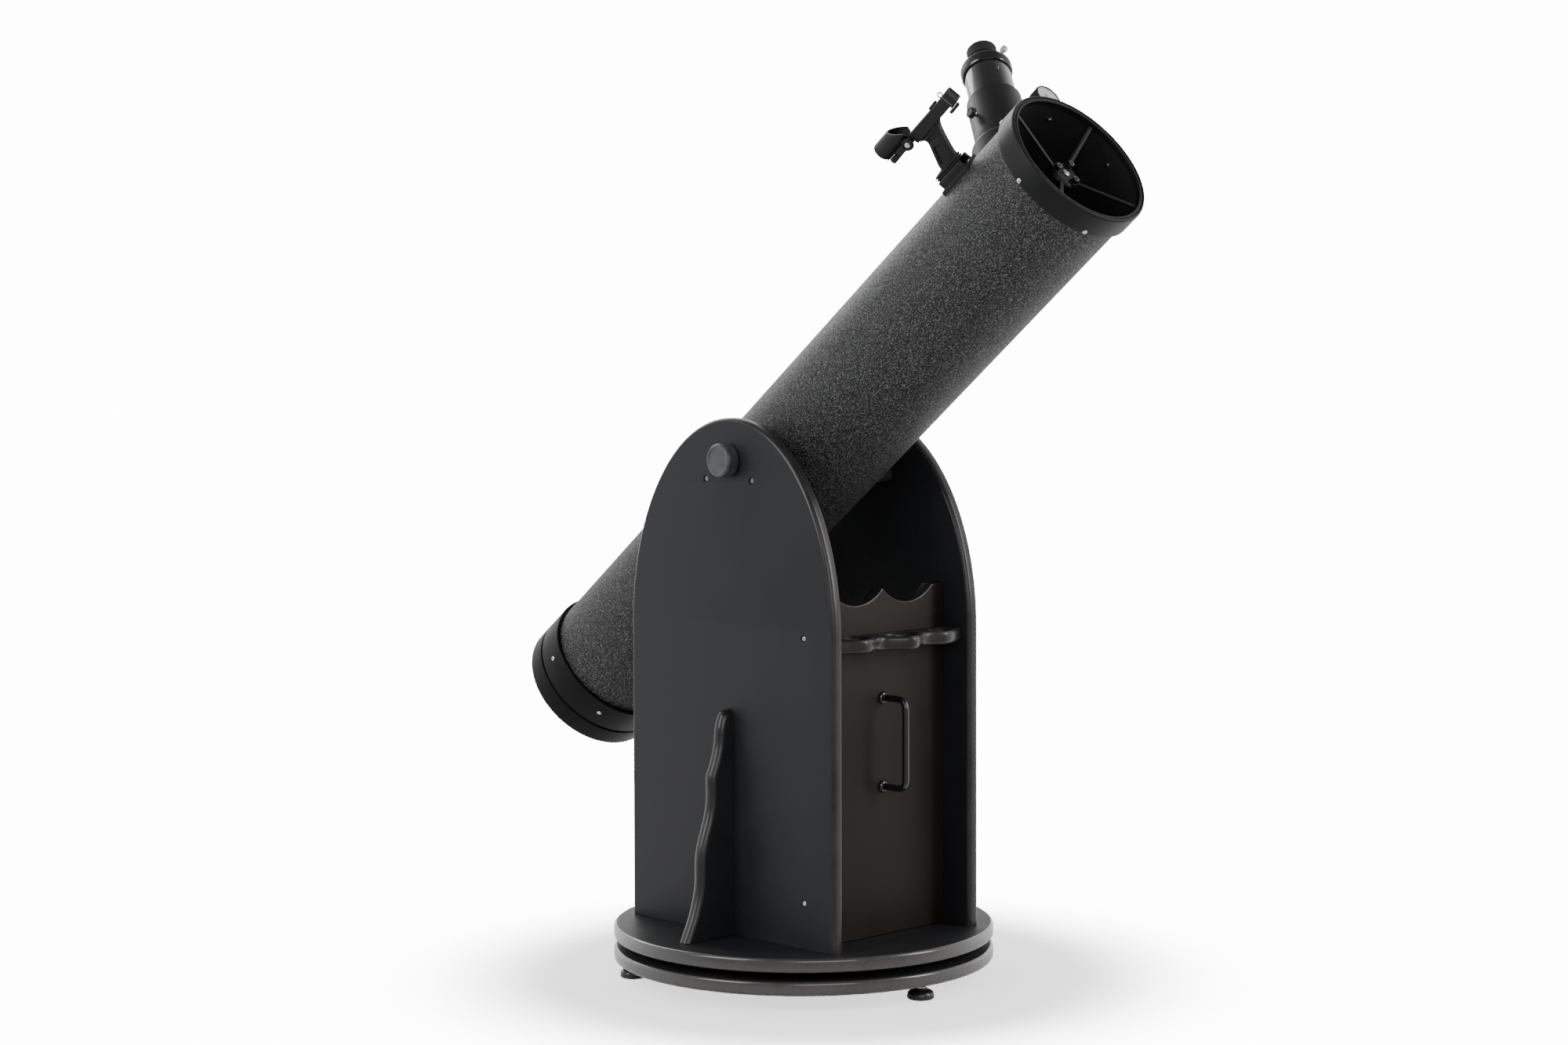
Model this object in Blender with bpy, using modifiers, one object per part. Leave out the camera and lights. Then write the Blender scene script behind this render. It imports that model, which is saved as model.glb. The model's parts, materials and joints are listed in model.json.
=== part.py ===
"""Dobsonian telescope: a Newtonian tube in a rocker box on a round turning base.

Every sub-part is its own object, in metres, +Z up, with the floor at z = 0. The open end of
the tube points to -Y and upwards. The azimuth axis is vertical, AZIMUTH_Y behind the origin,
which centres the whole object over the origin.

Run with: blender --background --python part.py
"""
import math

import bmesh
import bpy
from mathutils import Matrix, Vector

MM = 0.001
GAP = 0.3 * MM

# Base: two round boards with a roller bearing between them, on three feet.
AZIMUTH_Y = 22 * MM
BOARD_RADIUS = 247 * MM
BOARD_THICKNESS = 18 * MM
BOARD_EDGE = 4.5 * MM
FOOT_HEIGHT = 19.2 * MM
FOOT_RADIUS = 17 * MM
FOOT_CIRCLE = 224 * MM
FOOT_ANGLES = (266, 146, 26)
GROUND_BOARD_BOTTOM = FOOT_HEIGHT + GAP
TURNTABLE_TOP = 66 * MM
RACE_INNER = 55 * MM
RACE_OUTER = 105 * MM
RACE_THICKNESS = 1.6 * MM
ROLLER_RADIUS = 3 * MM
ROLLER_COUNT = 12
PIVOT_RADIUS = 5 * MM

# Rocker box.
ALTITUDE_HEIGHT = 670.3 * MM
PANEL_THICKNESS = 18 * MM
PANEL_OUTER_X = 132.7 * MM
PANEL_INNER_X = PANEL_OUTER_X - PANEL_THICKNESS
PANEL_HALF_DEPTH = 187 * MM
PANEL_STRAIGHT_TOP = 455 * MM
PANEL_TOP = 724 * MM
PANEL_EDGE = 6 * MM
FRONT_FACE_Y = -143.5 * MM
FRONT_TOP = 508 * MM
SCOOP_CENTRE = 46 * MM
SCOOP_HALF_WIDTH = 45 * MM
SCOOP_DEPTH = 19 * MM
RIB_HEIGHT = 288 * MM
RACK_Z = 443.4 * MM
RACK_THICKNESS = 18 * MM
RACK_HOLES = ((-74 * MM, -25 * MM, 16 * MM), (0, -30 * MM, 22 * MM), (74 * MM, -25 * MM, 16 * MM))
HANDLE_TOP = 369 * MM
HANDLE_BOTTOM = 256 * MM
HANDLE_RADIUS = 4.5 * MM
HANDLE_REACH = 40 * MM

# Optical tube, measured along its own axis from the altitude axis.
ALTITUDE_ANGLE = 38.2
TUBE_RADIUS = 92.5 * MM
TUBE_WALL = 1.5 * MM
TUBE_FRONT = 587 * MM
TUBE_REAR = -508 * MM
TUBE_CLEAR = TUBE_RADIUS + GAP
RING_RADIUS = 97.8 * MM
FRONT_RING_REAR = 564.5 * MM
FRONT_RIM = 595.6 * MM
GROOVE_STATION = -508 * MM
BEARING_RADIUS = 38.5 * MM
PAD_RADIUS = 10 * MM
PAD_OFFSET_Y = 42 * MM
PAD_DROP = 25 * MM
STUD_RADIUS = 4 * MM
MIRROR_RADIUS = 76 * MM
FOCUSER_STATION = 481 * MM
FOCUSER_TURN = 23
BODY_RADIUS = 35 * MM
DRAWTUBE_RADIUS = 30 * MM
BODY_BOTTOM = 127 * MM
BODY_TOP = 208 * MM
COLLAR_BOTTOM = 257 * MM
COLLAR_TOP = 273 * MM
PINION_OFFSET = 37 * MM
PINION_HEIGHT = 181 * MM
FINDER_TURN = -37
FINDER_STATION = 468.5 * MM
FINDER_BAR_BOTTOM = 155.5 * MM
FINDER_BAR_TOP = 171 * MM
FINDER_BAR_REAR = 6 * MM
FINDER_BAR_FRONT = 85 * MM
FINDER_WHEEL_Z = 71.5 * MM
HOOD_BOTTOM = 160.5 * MM
HOOD_SLOPE = 47.5

PARTS_NAME = "dobsonian_telescope"
CUTTERS_NAME = "cutters"
MERGE = 0.00001

# Sides of the largest round shapes.
BOARD_STEPS = 56
RING_STEPS = 48


# ---------------------------------------------------------------- scene and material helpers
def clear_scene():
    for item in list(bpy.data.objects):
        bpy.data.objects.remove(item, do_unlink=True)


def new_collection(name):
    collection = bpy.data.collections.new(name)
    bpy.context.scene.collection.children.link(collection)
    return collection


def finish(name, colour, roughness, metallic=0.0):
    material = bpy.data.materials.new(name)
    material.use_nodes = True
    shader = material.node_tree.nodes["Principled BSDF"]
    shader.inputs["Base Color"].default_value = (*colour, 1.0)
    shader.inputs["Roughness"].default_value = roughness
    shader.inputs["Metallic"].default_value = metallic
    material.diffuse_color = (*colour, 1.0)
    return material


def axis_frame(name, location, turn=(0, 0, 0), parent=None):
    """An empty on a joint's axis; turn is in degrees."""
    empty = bpy.data.objects.new(name, None)
    empty.empty_display_size = 0.05
    empty.location = location
    empty.rotation_euler = [math.radians(angle) for angle in turn]
    empty.parent = parent
    PARTS.objects.link(empty)
    return empty


def place(item, parent, location=(0, 0, 0), turn=(0, 0, 0)):
    item.location = location
    item.rotation_euler = [math.radians(angle) for angle in turn]
    item.parent = parent
    return item


def add(name, mesh, material=None):
    """Link a mesh as a part, or as a cutter where it has no material."""
    item = bpy.data.objects.new(name, mesh)
    if material is None:
        item.hide_render = True
        item.display_type = "WIRE"
        CUTTERS.objects.link(item)
    else:
        mesh.materials.clear()
        mesh.materials.append(material)
        mesh.shade_smooth()
        mesh.set_sharp_from_angle(angle=math.radians(35))
        PARTS.objects.link(item)
    return item


def evaluated_mesh(item):
    """The finished mesh of an object, with its loose caps and seams welded."""
    bpy.context.view_layer.update()
    graph = bpy.context.evaluated_depsgraph_get()
    mesh = bpy.data.meshes.new_from_object(item.evaluated_get(graph))
    bm = bmesh.new()
    bm.from_mesh(mesh)
    bmesh.ops.remove_doubles(bm, verts=bm.verts, dist=MERGE)
    bm.to_mesh(mesh)
    bm.free()
    return mesh


# ---------------------------------------------------------------- shape helpers
def box_mesh(low, high, edge=0.0):
    """A box between two corners, its edges rounded by two bevel segments."""
    low, high = Vector(low), Vector(high)
    bm = bmesh.new()
    bmesh.ops.create_cube(bm, size=1.0)
    bmesh.ops.scale(bm, vec=high - low, verts=bm.verts)
    bmesh.ops.translate(bm, vec=(high + low) / 2, verts=bm.verts)
    if edge:
        bmesh.ops.bevel(bm, geom=bm.edges[:], offset=edge, segments=2, profile=0.5, affect="EDGES")
    mesh = bpy.data.meshes.new("box")
    bm.to_mesh(mesh)
    bm.free()
    return mesh


def rod_mesh(radius, low, high, axis="Z", sides=24):
    """A cylinder along one axis, from low to high."""
    bm = bmesh.new()
    bmesh.ops.create_cone(
        bm, cap_ends=True, segments=sides, radius1=radius, radius2=radius, depth=high - low
    )
    bmesh.ops.translate(bm, vec=(0, 0, (high + low) / 2), verts=bm.verts)
    if axis == "X":
        bmesh.ops.rotate(bm, matrix=Matrix.Rotation(math.radians(90), 3, "Y"), verts=bm.verts)
    if axis == "Y":
        bmesh.ops.rotate(bm, matrix=Matrix.Rotation(math.radians(-90), 3, "X"), verts=bm.verts)
    mesh = bpy.data.meshes.new("rod")
    bm.to_mesh(mesh)
    bm.free()
    return mesh


def turned_mesh(profile, steps=32, ring=False):
    """A profile of (radius, height) points turned about Z, listed down its outer side."""
    mesh = bpy.data.meshes.new("profile")
    count = len(profile)
    edges = [(i, i + 1) for i in range(count - 1)]
    if ring:
        edges.append((count - 1, 0))
    mesh.from_pydata([(radius, 0, height) for radius, height in profile], edges, [])
    item = bpy.data.objects.new("profile", mesh)
    CUTTERS.objects.link(item)
    screw = item.modifiers.new("turn", "SCREW")
    screw.steps = steps
    screw.render_steps = steps
    screw.use_merge_vertices = True
    screw.merge_threshold = MERGE
    result = evaluated_mesh(item)
    bpy.data.objects.remove(item, do_unlink=True)
    return result


def rounded_bar(radius, low, high, edge, turns=2):
    """The outline of a solid disc or bar from high to low, with round outer edges."""
    corner = [math.pi / 2 * i / turns for i in range(turns + 1)]
    top = [(radius - edge + edge * math.sin(a), high - edge + edge * math.cos(a)) for a in corner]
    low_side = [(radius - edge + edge * math.cos(a), low + edge - edge * math.sin(a)) for a in corner]
    return [(0, high)] + top + low_side + [(0, low)]


def plate_mesh(outline, thickness, edge, depth=2):
    """A flat plate in the XY plane from an outline, with rounded edges all round."""
    curve = bpy.data.curves.new("outline", "CURVE")
    curve.dimensions = "2D"
    curve.fill_mode = "BOTH"
    curve.extrude = thickness / 2 - edge
    curve.bevel_depth = edge
    curve.bevel_resolution = depth - 1
    curve.offset = -edge
    spline = curve.splines.new("POLY")
    spline.points.add(len(outline) - 1)
    for point, (x, y) in zip(spline.points, outline):
        point.co = (x, y, 0, 1)
    spline.use_cyclic_u = True
    item = bpy.data.objects.new("outline", curve)
    CUTTERS.objects.link(item)
    mesh = evaluated_mesh(item)
    bpy.data.objects.remove(item, do_unlink=True)
    return mesh


def wire_mesh(points, radius, resolution=2):
    """A round bar that follows a list of points."""
    curve = bpy.data.curves.new("wire", "CURVE")
    curve.dimensions = "3D"
    curve.bevel_depth = radius
    curve.bevel_resolution = resolution
    curve.use_fill_caps = True
    spline = curve.splines.new("POLY")
    spline.points.add(len(points) - 1)
    for point, place_at in zip(spline.points, points):
        point.co = (*place_at, 1)
    item = bpy.data.objects.new("wire", curve)
    CUTTERS.objects.link(item)
    mesh = evaluated_mesh(item)
    bpy.data.objects.remove(item, do_unlink=True)
    return mesh


def slice_mesh(mesh, point, normal):
    """Cut away the side of a closed mesh that a plane's normal points to."""
    bm = bmesh.new()
    bm.from_mesh(mesh)
    geometry = bm.verts[:] + bm.edges[:] + bm.faces[:]
    cut = bmesh.ops.bisect_plane(
        bm, geom=geometry, dist=MERGE, plane_co=point, plane_no=normal, clear_outer=True
    )
    rim = [piece for piece in cut["geom_cut"] if isinstance(piece, bmesh.types.BMEdge)]
    bmesh.ops.contextual_create(bm, geom=rim)
    bmesh.ops.recalc_face_normals(bm, faces=bm.faces[:])
    bm.to_mesh(mesh)
    bm.free()
    return mesh


def arc(centre, radii, start, end, steps):
    """Points along an elliptical arc, angles in degrees."""
    angles = [math.radians(start + (end - start) * i / steps) for i in range(steps + 1)]
    return [
        (centre[0] + radii[0] * math.cos(a), centre[1] + radii[1] * math.sin(a)) for a in angles
    ]


def through(points, steps):
    """Points on one smooth curve through a few chosen points (Catmull-Rom)."""
    chosen = [points[0], *points, points[-1]]
    result = []
    for i in range(1, len(chosen) - 2):
        a, b, c, d = (Vector(point) for point in chosen[i - 1:i + 3])
        for step in range(steps):
            t = step / steps
            curve = 2 * b + (c - a) * t + (2 * a - 5 * b + 4 * c - d) * t * t
            result.append(tuple((curve + (3 * b - a - 3 * c + d) * t**3) / 2))
    return result + [tuple(points[-1])]


def shape_with(item, tool, operation, location=(0, 0, 0), turn=(0, 0, 0)):
    """Cut or join a part with a tool mesh that stands in the part's own parent frame."""
    cutter = place(add(f"{item.name}_{operation.lower()}", tool), item.parent, location, turn)
    modifier = item.modifiers.new(operation.lower(), "BOOLEAN")
    modifier.operation = operation
    modifier.object = cutter
    modifier.solver = "EXACT"
    return cutter


def cut(item, tool, location=(0, 0, 0), turn=(0, 0, 0)):
    return shape_with(item, tool, "DIFFERENCE", location, turn)


def join(item, tool, location=(0, 0, 0), turn=(0, 0, 0)):
    return shape_with(item, tool, "UNION", location, turn)


# ---------------------------------------------------------------- base
def disc_ring(low, high, inner, outer, edge, steps):
    """A round board with a centre hole and rounded rim."""
    solid = rounded_bar(outer, low, high, edge)
    return turned_mesh([(inner, high)] + solid[1:-1] + [(inner, low)], steps, ring=True)


def build_base(base):
    board = disc_ring(
        GROUND_BOARD_BOTTOM, GROUND_BOARD_BOTTOM + BOARD_THICKNESS, PIVOT_RADIUS + GAP,
        BOARD_RADIUS, BOARD_EDGE, BOARD_STEPS,
    )
    place(add("ground_board", board, LAMINATE), base)
    foot = turned_mesh(
        [(0, FOOT_HEIGHT), (4.8 * MM, FOOT_HEIGHT), (4.8 * MM, 13 * MM), (8 * MM, 13 * MM),
         (14.5 * MM, 11 * MM), (FOOT_RADIUS, 6.5 * MM), (FOOT_RADIUS, 2 * MM), (15.5 * MM, 0),
         (0, 0)], 20
    )
    for number, angle in enumerate(FOOT_ANGLES, start=1):
        x = FOOT_CIRCLE * math.cos(math.radians(angle))
        y = FOOT_CIRCLE * math.sin(math.radians(angle))
        place(add(f"foot_{number}", foot.copy(), RUBBER), base, (x, y, 0))
    race_z = GROUND_BOARD_BOTTOM + BOARD_THICKNESS + GAP
    race = [(RACE_OUTER, RACE_THICKNESS), (RACE_OUTER, 0), (RACE_INNER, 0),
            (RACE_INNER, RACE_THICKNESS)]
    place(add("lower_race", turned_mesh(race, 36, ring=True), STEEL), base, (0, 0, race_z))
    bolt = [(0, 79 * MM), (PIVOT_RADIUS, 79 * MM), (PIVOT_RADIUS, FOOT_HEIGHT),
            (11 * MM, FOOT_HEIGHT), (10 * MM, 13.2 * MM), (0, 13.2 * MM)]
    place(add("pivot_bolt", turned_mesh(bolt, 24), STEEL), base)
    nut_low, nut_high = TURNTABLE_TOP + 2 * GAP, 76 * MM
    nut = [(9 * MM, nut_high), (9 * MM, nut_low + 2 * MM), (16 * MM, nut_low + 2 * MM),
           (16 * MM, nut_low), (PIVOT_RADIUS + GAP, nut_low), (PIVOT_RADIUS + GAP, nut_high)]
    place(add("pivot_nut", turned_mesh(nut, 16, ring=True), STEEL), base)


def build_roller_cage(azimuth):
    centre_z = TURNTABLE_TOP - BOARD_THICKNESS - GAP - RACE_THICKNESS - GAP - ROLLER_RADIUS
    plate = [(100 * MM, MM), (100 * MM, -MM), (60 * MM, -MM), (60 * MM, MM)]
    cage = add("roller_cage", turned_mesh(plate, 36, ring=True), NYLON)
    place(cage, azimuth, (0, 0, centre_z))
    rollers = bmesh.new()
    for number in range(ROLLER_COUNT):
        roller = rod_mesh(ROLLER_RADIUS, 67 * MM, 93 * MM, "X", 8)
        roller.transform(Matrix.Rotation(math.tau * number / ROLLER_COUNT, 4, "Z"))
        rollers.from_mesh(roller)
    joined = bpy.data.meshes.new("rollers")
    rollers.to_mesh(joined)
    rollers.free()
    join(cage, joined, (0, 0, centre_z))


# ---------------------------------------------------------------- rocker box
def side_panel_outline():
    low = TURNTABLE_TOP - PANEL_EDGE * 2
    height = PANEL_TOP - PANEL_STRAIGHT_TOP
    arch = arc((0, PANEL_STRAIGHT_TOP), (PANEL_HALF_DEPTH, height), 0, 180, 24)
    return [(-PANEL_HALF_DEPTH, low), (PANEL_HALF_DEPTH, low)] + arch


def front_board_outline():
    radius = (SCOOP_HALF_WIDTH**2 + SCOOP_DEPTH**2) / (2 * SCOOP_DEPTH)
    half_angle = math.degrees(math.asin(SCOOP_HALF_WIDTH / radius))
    centre_z = FRONT_TOP + radius - SCOOP_DEPTH
    edge_x = PANEL_INNER_X - GAP
    low = TURNTABLE_TOP + GAP
    points = [(-edge_x, low), (edge_x, low), (edge_x, FRONT_TOP)]
    for centre_x in (SCOOP_CENTRE, -SCOOP_CENTRE):
        points += arc((centre_x, centre_z), (radius, radius), 270 + half_angle, 270 - half_angle, 8)
    return points + [(-edge_x, FRONT_TOP)]


def rib_outline():
    """The wavy rib's outline: x out from the panel's face, y up from the turntable."""
    wave = through(
        [(88, -12), (76, 12), (65, 37), (57, 68), (56, 100), (52, 122), (41, 154), (37, 177),
         (37, 204), (30, 222), (24, 243), (21, 267), (14, 284), (0, 288)], 3
    )
    return [(-12 * MM, -12 * MM)] + [(x * MM, y * MM) for x, y in wave] + [(-12 * MM, RIB_HEIGHT)]


def rack_outline():
    """The eyepiece shelf: straight at the back, three bulges along the front."""
    half = PANEL_INNER_X - GAP
    front = through(
        [(-half, -30 * MM), (-75 * MM, -46 * MM), (-38 * MM, -37 * MM), (0, -58 * MM),
         (38 * MM, -37 * MM), (75 * MM, -46 * MM), (half, -30 * MM)], 4
    )
    return [(half, 0), (-half, 0)] + front


def build_rocker(azimuth):
    board = disc_ring(
        TURNTABLE_TOP - BOARD_THICKNESS, TURNTABLE_TOP, PIVOT_RADIUS + GAP, BOARD_RADIUS,
        BOARD_EDGE, BOARD_STEPS,
    )
    place(add("turntable_board", board, LAMINATE), azimuth)
    race_z = TURNTABLE_TOP - BOARD_THICKNESS - GAP - RACE_THICKNESS
    race = [(RACE_OUTER, RACE_THICKNESS), (RACE_OUTER, 0), (RACE_INNER, 0),
            (RACE_INNER, RACE_THICKNESS)]
    place(add("upper_race", turned_mesh(race, 36, ring=True), STEEL), azimuth, (0, 0, race_z))
    upright = (90, 0, 90)
    facing = (90, 0, 0)
    floor = TURNTABLE_TOP + GAP
    for side, label in ((-1, "left"), (1, "right")):
        panel_mesh = plate_mesh(side_panel_outline(), PANEL_THICKNESS, PANEL_EDGE)
        slice_mesh(panel_mesh, (0, floor, 0), (0, -1, 0))
        panel = add(f"side_panel_{label}", panel_mesh, LAMINATE)
        place(panel, azimuth, (side * (PANEL_OUTER_X + PANEL_INNER_X) / 2, 0, 0), upright)
        reach = PANEL_OUTER_X + 5 * MM
        cut(panel, rod_mesh(STUD_RADIUS + 1.2 * MM, -reach, reach, "X", 20),
            (0, 0, ALTITUDE_HEIGHT))
        rib_mesh = plate_mesh(
            [(side * x, y) for x, y in rib_outline()], PANEL_THICKNESS, 6 * MM
        )
        slice_mesh(rib_mesh, (side * GAP, 0, 0), (-side, 0, 0))
        slice_mesh(rib_mesh, (0, GAP, 0), (0, -1, 0))
        place(add(f"stiffening_rib_{label}", rib_mesh, LAMINATE), azimuth,
              (side * PANEL_OUTER_X, 0, TURNTABLE_TOP), facing)
        for end, end_label in ((-1, "front"), (1, "rear")):
            pad = turned_mesh(rounded_bar(PAD_RADIUS, 0, 18 * MM, MM, 1), 20)
            inward = (0, -side * 90, 0)
            place(add(f"bearing_pad_{label}_{end_label}", pad, NYLON), azimuth,
                  (side * (PANEL_INNER_X - GAP), end * PAD_OFFSET_Y, ALTITUDE_HEIGHT - PAD_DROP),
                  inward)
    front_mesh = plate_mesh(front_board_outline(), PANEL_THICKNESS, 1.5 * MM, depth=1)
    place(add("front_board", front_mesh, LAMINATE), azimuth,
          (0, FRONT_FACE_Y + PANEL_THICKNESS / 2, 0), facing)
    rack_mesh = plate_mesh(rack_outline(), RACK_THICKNESS, 4 * MM)
    rack = place(add("eyepiece_rack", rack_mesh, LAMINATE), azimuth,
                 (0, FRONT_FACE_Y - GAP, RACK_Z))
    for x, y, radius in RACK_HOLES:
        hole = rod_mesh(radius, -RACK_THICKNESS, RACK_THICKNESS, "Z", 28)
        cut(rack, hole, (x, FRONT_FACE_Y + y, RACK_Z))
    build_handle(azimuth)


def build_handle(azimuth):
    bend = 12 * MM
    front = -HANDLE_REACH
    corners = arc((front + bend, HANDLE_TOP - bend), (bend, bend), 90, 180, 4)
    lower = arc((front + bend, HANDLE_BOTTOM + bend), (bend, bend), 180, 270, 4)
    outline = [(-GAP, HANDLE_TOP), *corners, *lower, (-GAP, HANDLE_BOTTOM)]
    bar = wire_mesh([(0, y, z) for y, z in outline], HANDLE_RADIUS)
    handle = place(add("carry_handle", bar, SATIN_BLACK), azimuth, (0, FRONT_FACE_Y, 0))
    for height in (HANDLE_TOP, HANDLE_BOTTOM):
        foot = rod_mesh(8 * MM, -4 * MM, -GAP, "Y", 20)
        join(handle, foot, (0, FRONT_FACE_Y, height))


# ---------------------------------------------------------------- tube and optics
def build_tube(tube):
    shell = [(TUBE_RADIUS, TUBE_FRONT), (TUBE_RADIUS, TUBE_REAR),
             (TUBE_RADIUS - TUBE_WALL, TUBE_REAR), (TUBE_RADIUS - TUBE_WALL, TUBE_FRONT)]
    main = place(add("main_tube", turned_mesh(shell, RING_STEPS, ring=True), TUBE_COAT), tube)
    hole = rod_mesh(DRAWTUBE_RADIUS + 2 * MM, 60 * MM, 130 * MM, "Z", 32)
    cut(main, hole, (0, 0, FOCUSER_STATION), (-90, 0, -FOCUSER_TURN))
    front = [(RING_RADIUS - MM, FRONT_RIM), (RING_RADIUS, FRONT_RIM - MM),
             (RING_RADIUS, FRONT_RING_REAR + MM), (RING_RADIUS - MM, FRONT_RING_REAR),
             (TUBE_CLEAR, FRONT_RING_REAR), (TUBE_CLEAR, TUBE_FRONT + MM),
             (TUBE_RADIUS - 3 * MM, TUBE_FRONT + MM), (TUBE_RADIUS - 3 * MM, FRONT_RIM - 2 * MM),
             (TUBE_RADIUS, FRONT_RIM)]
    place(add("front_ring", turned_mesh(front, RING_STEPS, ring=True), SATIN_BLACK), tube)
    for side, label in ((-1, "left"), (1, "right")):
        near, far = 70 * MM, PANEL_INNER_X - 0.5 * MM
        low, high = sorted((side * near, side * far))
        disc = add(f"altitude_bearing_{label}", rod_mesh(BEARING_RADIUS, low, high, "X", 36), NYLON)
        place(disc, tube)
        cut(disc, rod_mesh(TUBE_CLEAR, -100 * MM, 100 * MM, "Z", RING_STEPS))
        low, high = sorted((side * 99 * MM, side * 130 * MM))
        cut(disc, rod_mesh(STUD_RADIUS + GAP, low, high, "X", 20))


def build_mirror_cell(cell_axis):
    """The rear ring with its arms, knobs and mirror; z = 0 is the ring's groove."""
    front, rim, tube_end = 43 * MM, -32 * MM, TUBE_REAR - GROOVE_STATION - MM
    ring = [(RING_RADIUS - 0.7 * MM, front), (RING_RADIUS, front - MM), (RING_RADIUS, 2 * MM),
            (RING_RADIUS - 2 * MM, MM), (RING_RADIUS - 2 * MM, -MM),
            (RING_RADIUS + 0.3 * MM, -2 * MM), (RING_RADIUS + 0.3 * MM, rim + 3 * MM),
            (RING_RADIUS - 3 * MM, rim), (86 * MM, rim), (86 * MM, tube_end),
            (TUBE_CLEAR, tube_end), (TUBE_CLEAR, front)]
    ring_mesh = turned_mesh(ring, RING_STEPS, ring=True)
    cell = place(add("mirror_cell", ring_mesh, SATIN_BLACK), cell_axis)
    arm_low, arm_high = -22 * MM, -16 * MM
    join(cell, rod_mesh(24 * MM, arm_low, arm_high, "Z", 24))
    hole_circle = 58 * MM
    for number in range(3):
        angle = 90 + 120 * number
        join(cell, box_mesh((10 * MM, -11 * MM, arm_low), (88 * MM, 11 * MM, arm_high)),
             turn=(0, 0, angle))
    for number in range(3):
        angle = math.radians(90 + 120 * number)
        spot = (hole_circle * math.cos(angle), hole_circle * math.sin(angle), 0)
        cut(cell, rod_mesh(3.3 * MM, arm_low - MM, arm_high + MM, "Z", 16), spot)
        knob = turned_mesh(
            [(0, -10 * MM), (2.8 * MM, -10 * MM), (2.8 * MM, arm_low - GAP),
             (8 * MM, arm_low - GAP), (9 * MM, arm_low - 2 * MM), (9 * MM, -34 * MM),
             (8 * MM, -36 * MM), (0, -36 * MM)], 20
        )
        place(add(f"collimation_knob_{number + 1}", knob, STEEL), cell_axis, spot)
    carrier = rounded_bar(72 * MM, -9.5 * MM, -5 * MM, MM, 1)
    place(add("mirror_carrier", turned_mesh(carrier, 30), ALUMINIUM), cell_axis)
    dish = [(0, 19.8 * MM), (35 * MM, 20.1 * MM), (MIRROR_RADIUS - MM, 21 * MM),
            (MIRROR_RADIUS, 20 * MM), (MIRROR_RADIUS, -4.6 * MM), (0, -4.6 * MM)]
    place(add("primary_mirror", turned_mesh(dish, 36), MIRROR), cell_axis)


def build_spider(tube):
    hub_front = 567.5 * MM
    hub = rounded_bar(20 * MM, 553 * MM, hub_front, 2 * MM, 1)
    spider = place(add("secondary_spider", turned_mesh(hub, 24), SATIN_BLACK), tube)
    reach = TUBE_RADIUS - 3 * MM - GAP
    wall_front = 589.5 * MM
    for number in range(4):
        angle = 130 + 90 * number
        vane = plate_mesh(
            [(15 * MM, hub_front - 5 * MM), (reach, wall_front - 3 * MM), (reach, wall_front),
             (15 * MM, hub_front - 2 * MM)], 5.5 * MM, 0.4 * MM, depth=1
        )
        join(spider, vane, turn=(90, 0, angle))
    for number in range(3):
        angle = math.radians(40 + 120 * number)
        spot = (15 * MM * math.cos(angle), 15 * MM * math.sin(angle), 0)
        join(spider, rod_mesh(4.5 * MM, 560 * MM, 575 * MM, "Z", 12), spot)
    turn = (-90, 0, -FOCUSER_TURN)
    station = (0, 0, FOCUSER_STATION)
    facing = Vector((0, 1, 1)).normalized()
    half_glass = 2 * MM
    stalk = [(0, 17 * MM), (17 * MM, 17 * MM), (17 * MM, -40 * MM), (4 * MM, -45 * MM),
             (4 * MM, -71.5 * MM), (0, -71.5 * MM)]
    along = Matrix.Rotation(math.radians(-90), 4, "X")
    holder = turned_mesh(stalk, 28)
    holder.transform(along)
    slice_mesh(holder, -(half_glass + GAP) * facing, facing)
    place(add("secondary_holder", holder, SATIN_BLACK), tube, station, turn)
    glass = rod_mesh(17.5 * MM, -30 * MM, 30 * MM, "Y", 36)
    slice_mesh(glass, half_glass * facing, facing)
    slice_mesh(glass, -half_glass * facing, -facing)
    place(add("secondary_mirror", glass, MIRROR), tube, station, turn)


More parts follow.
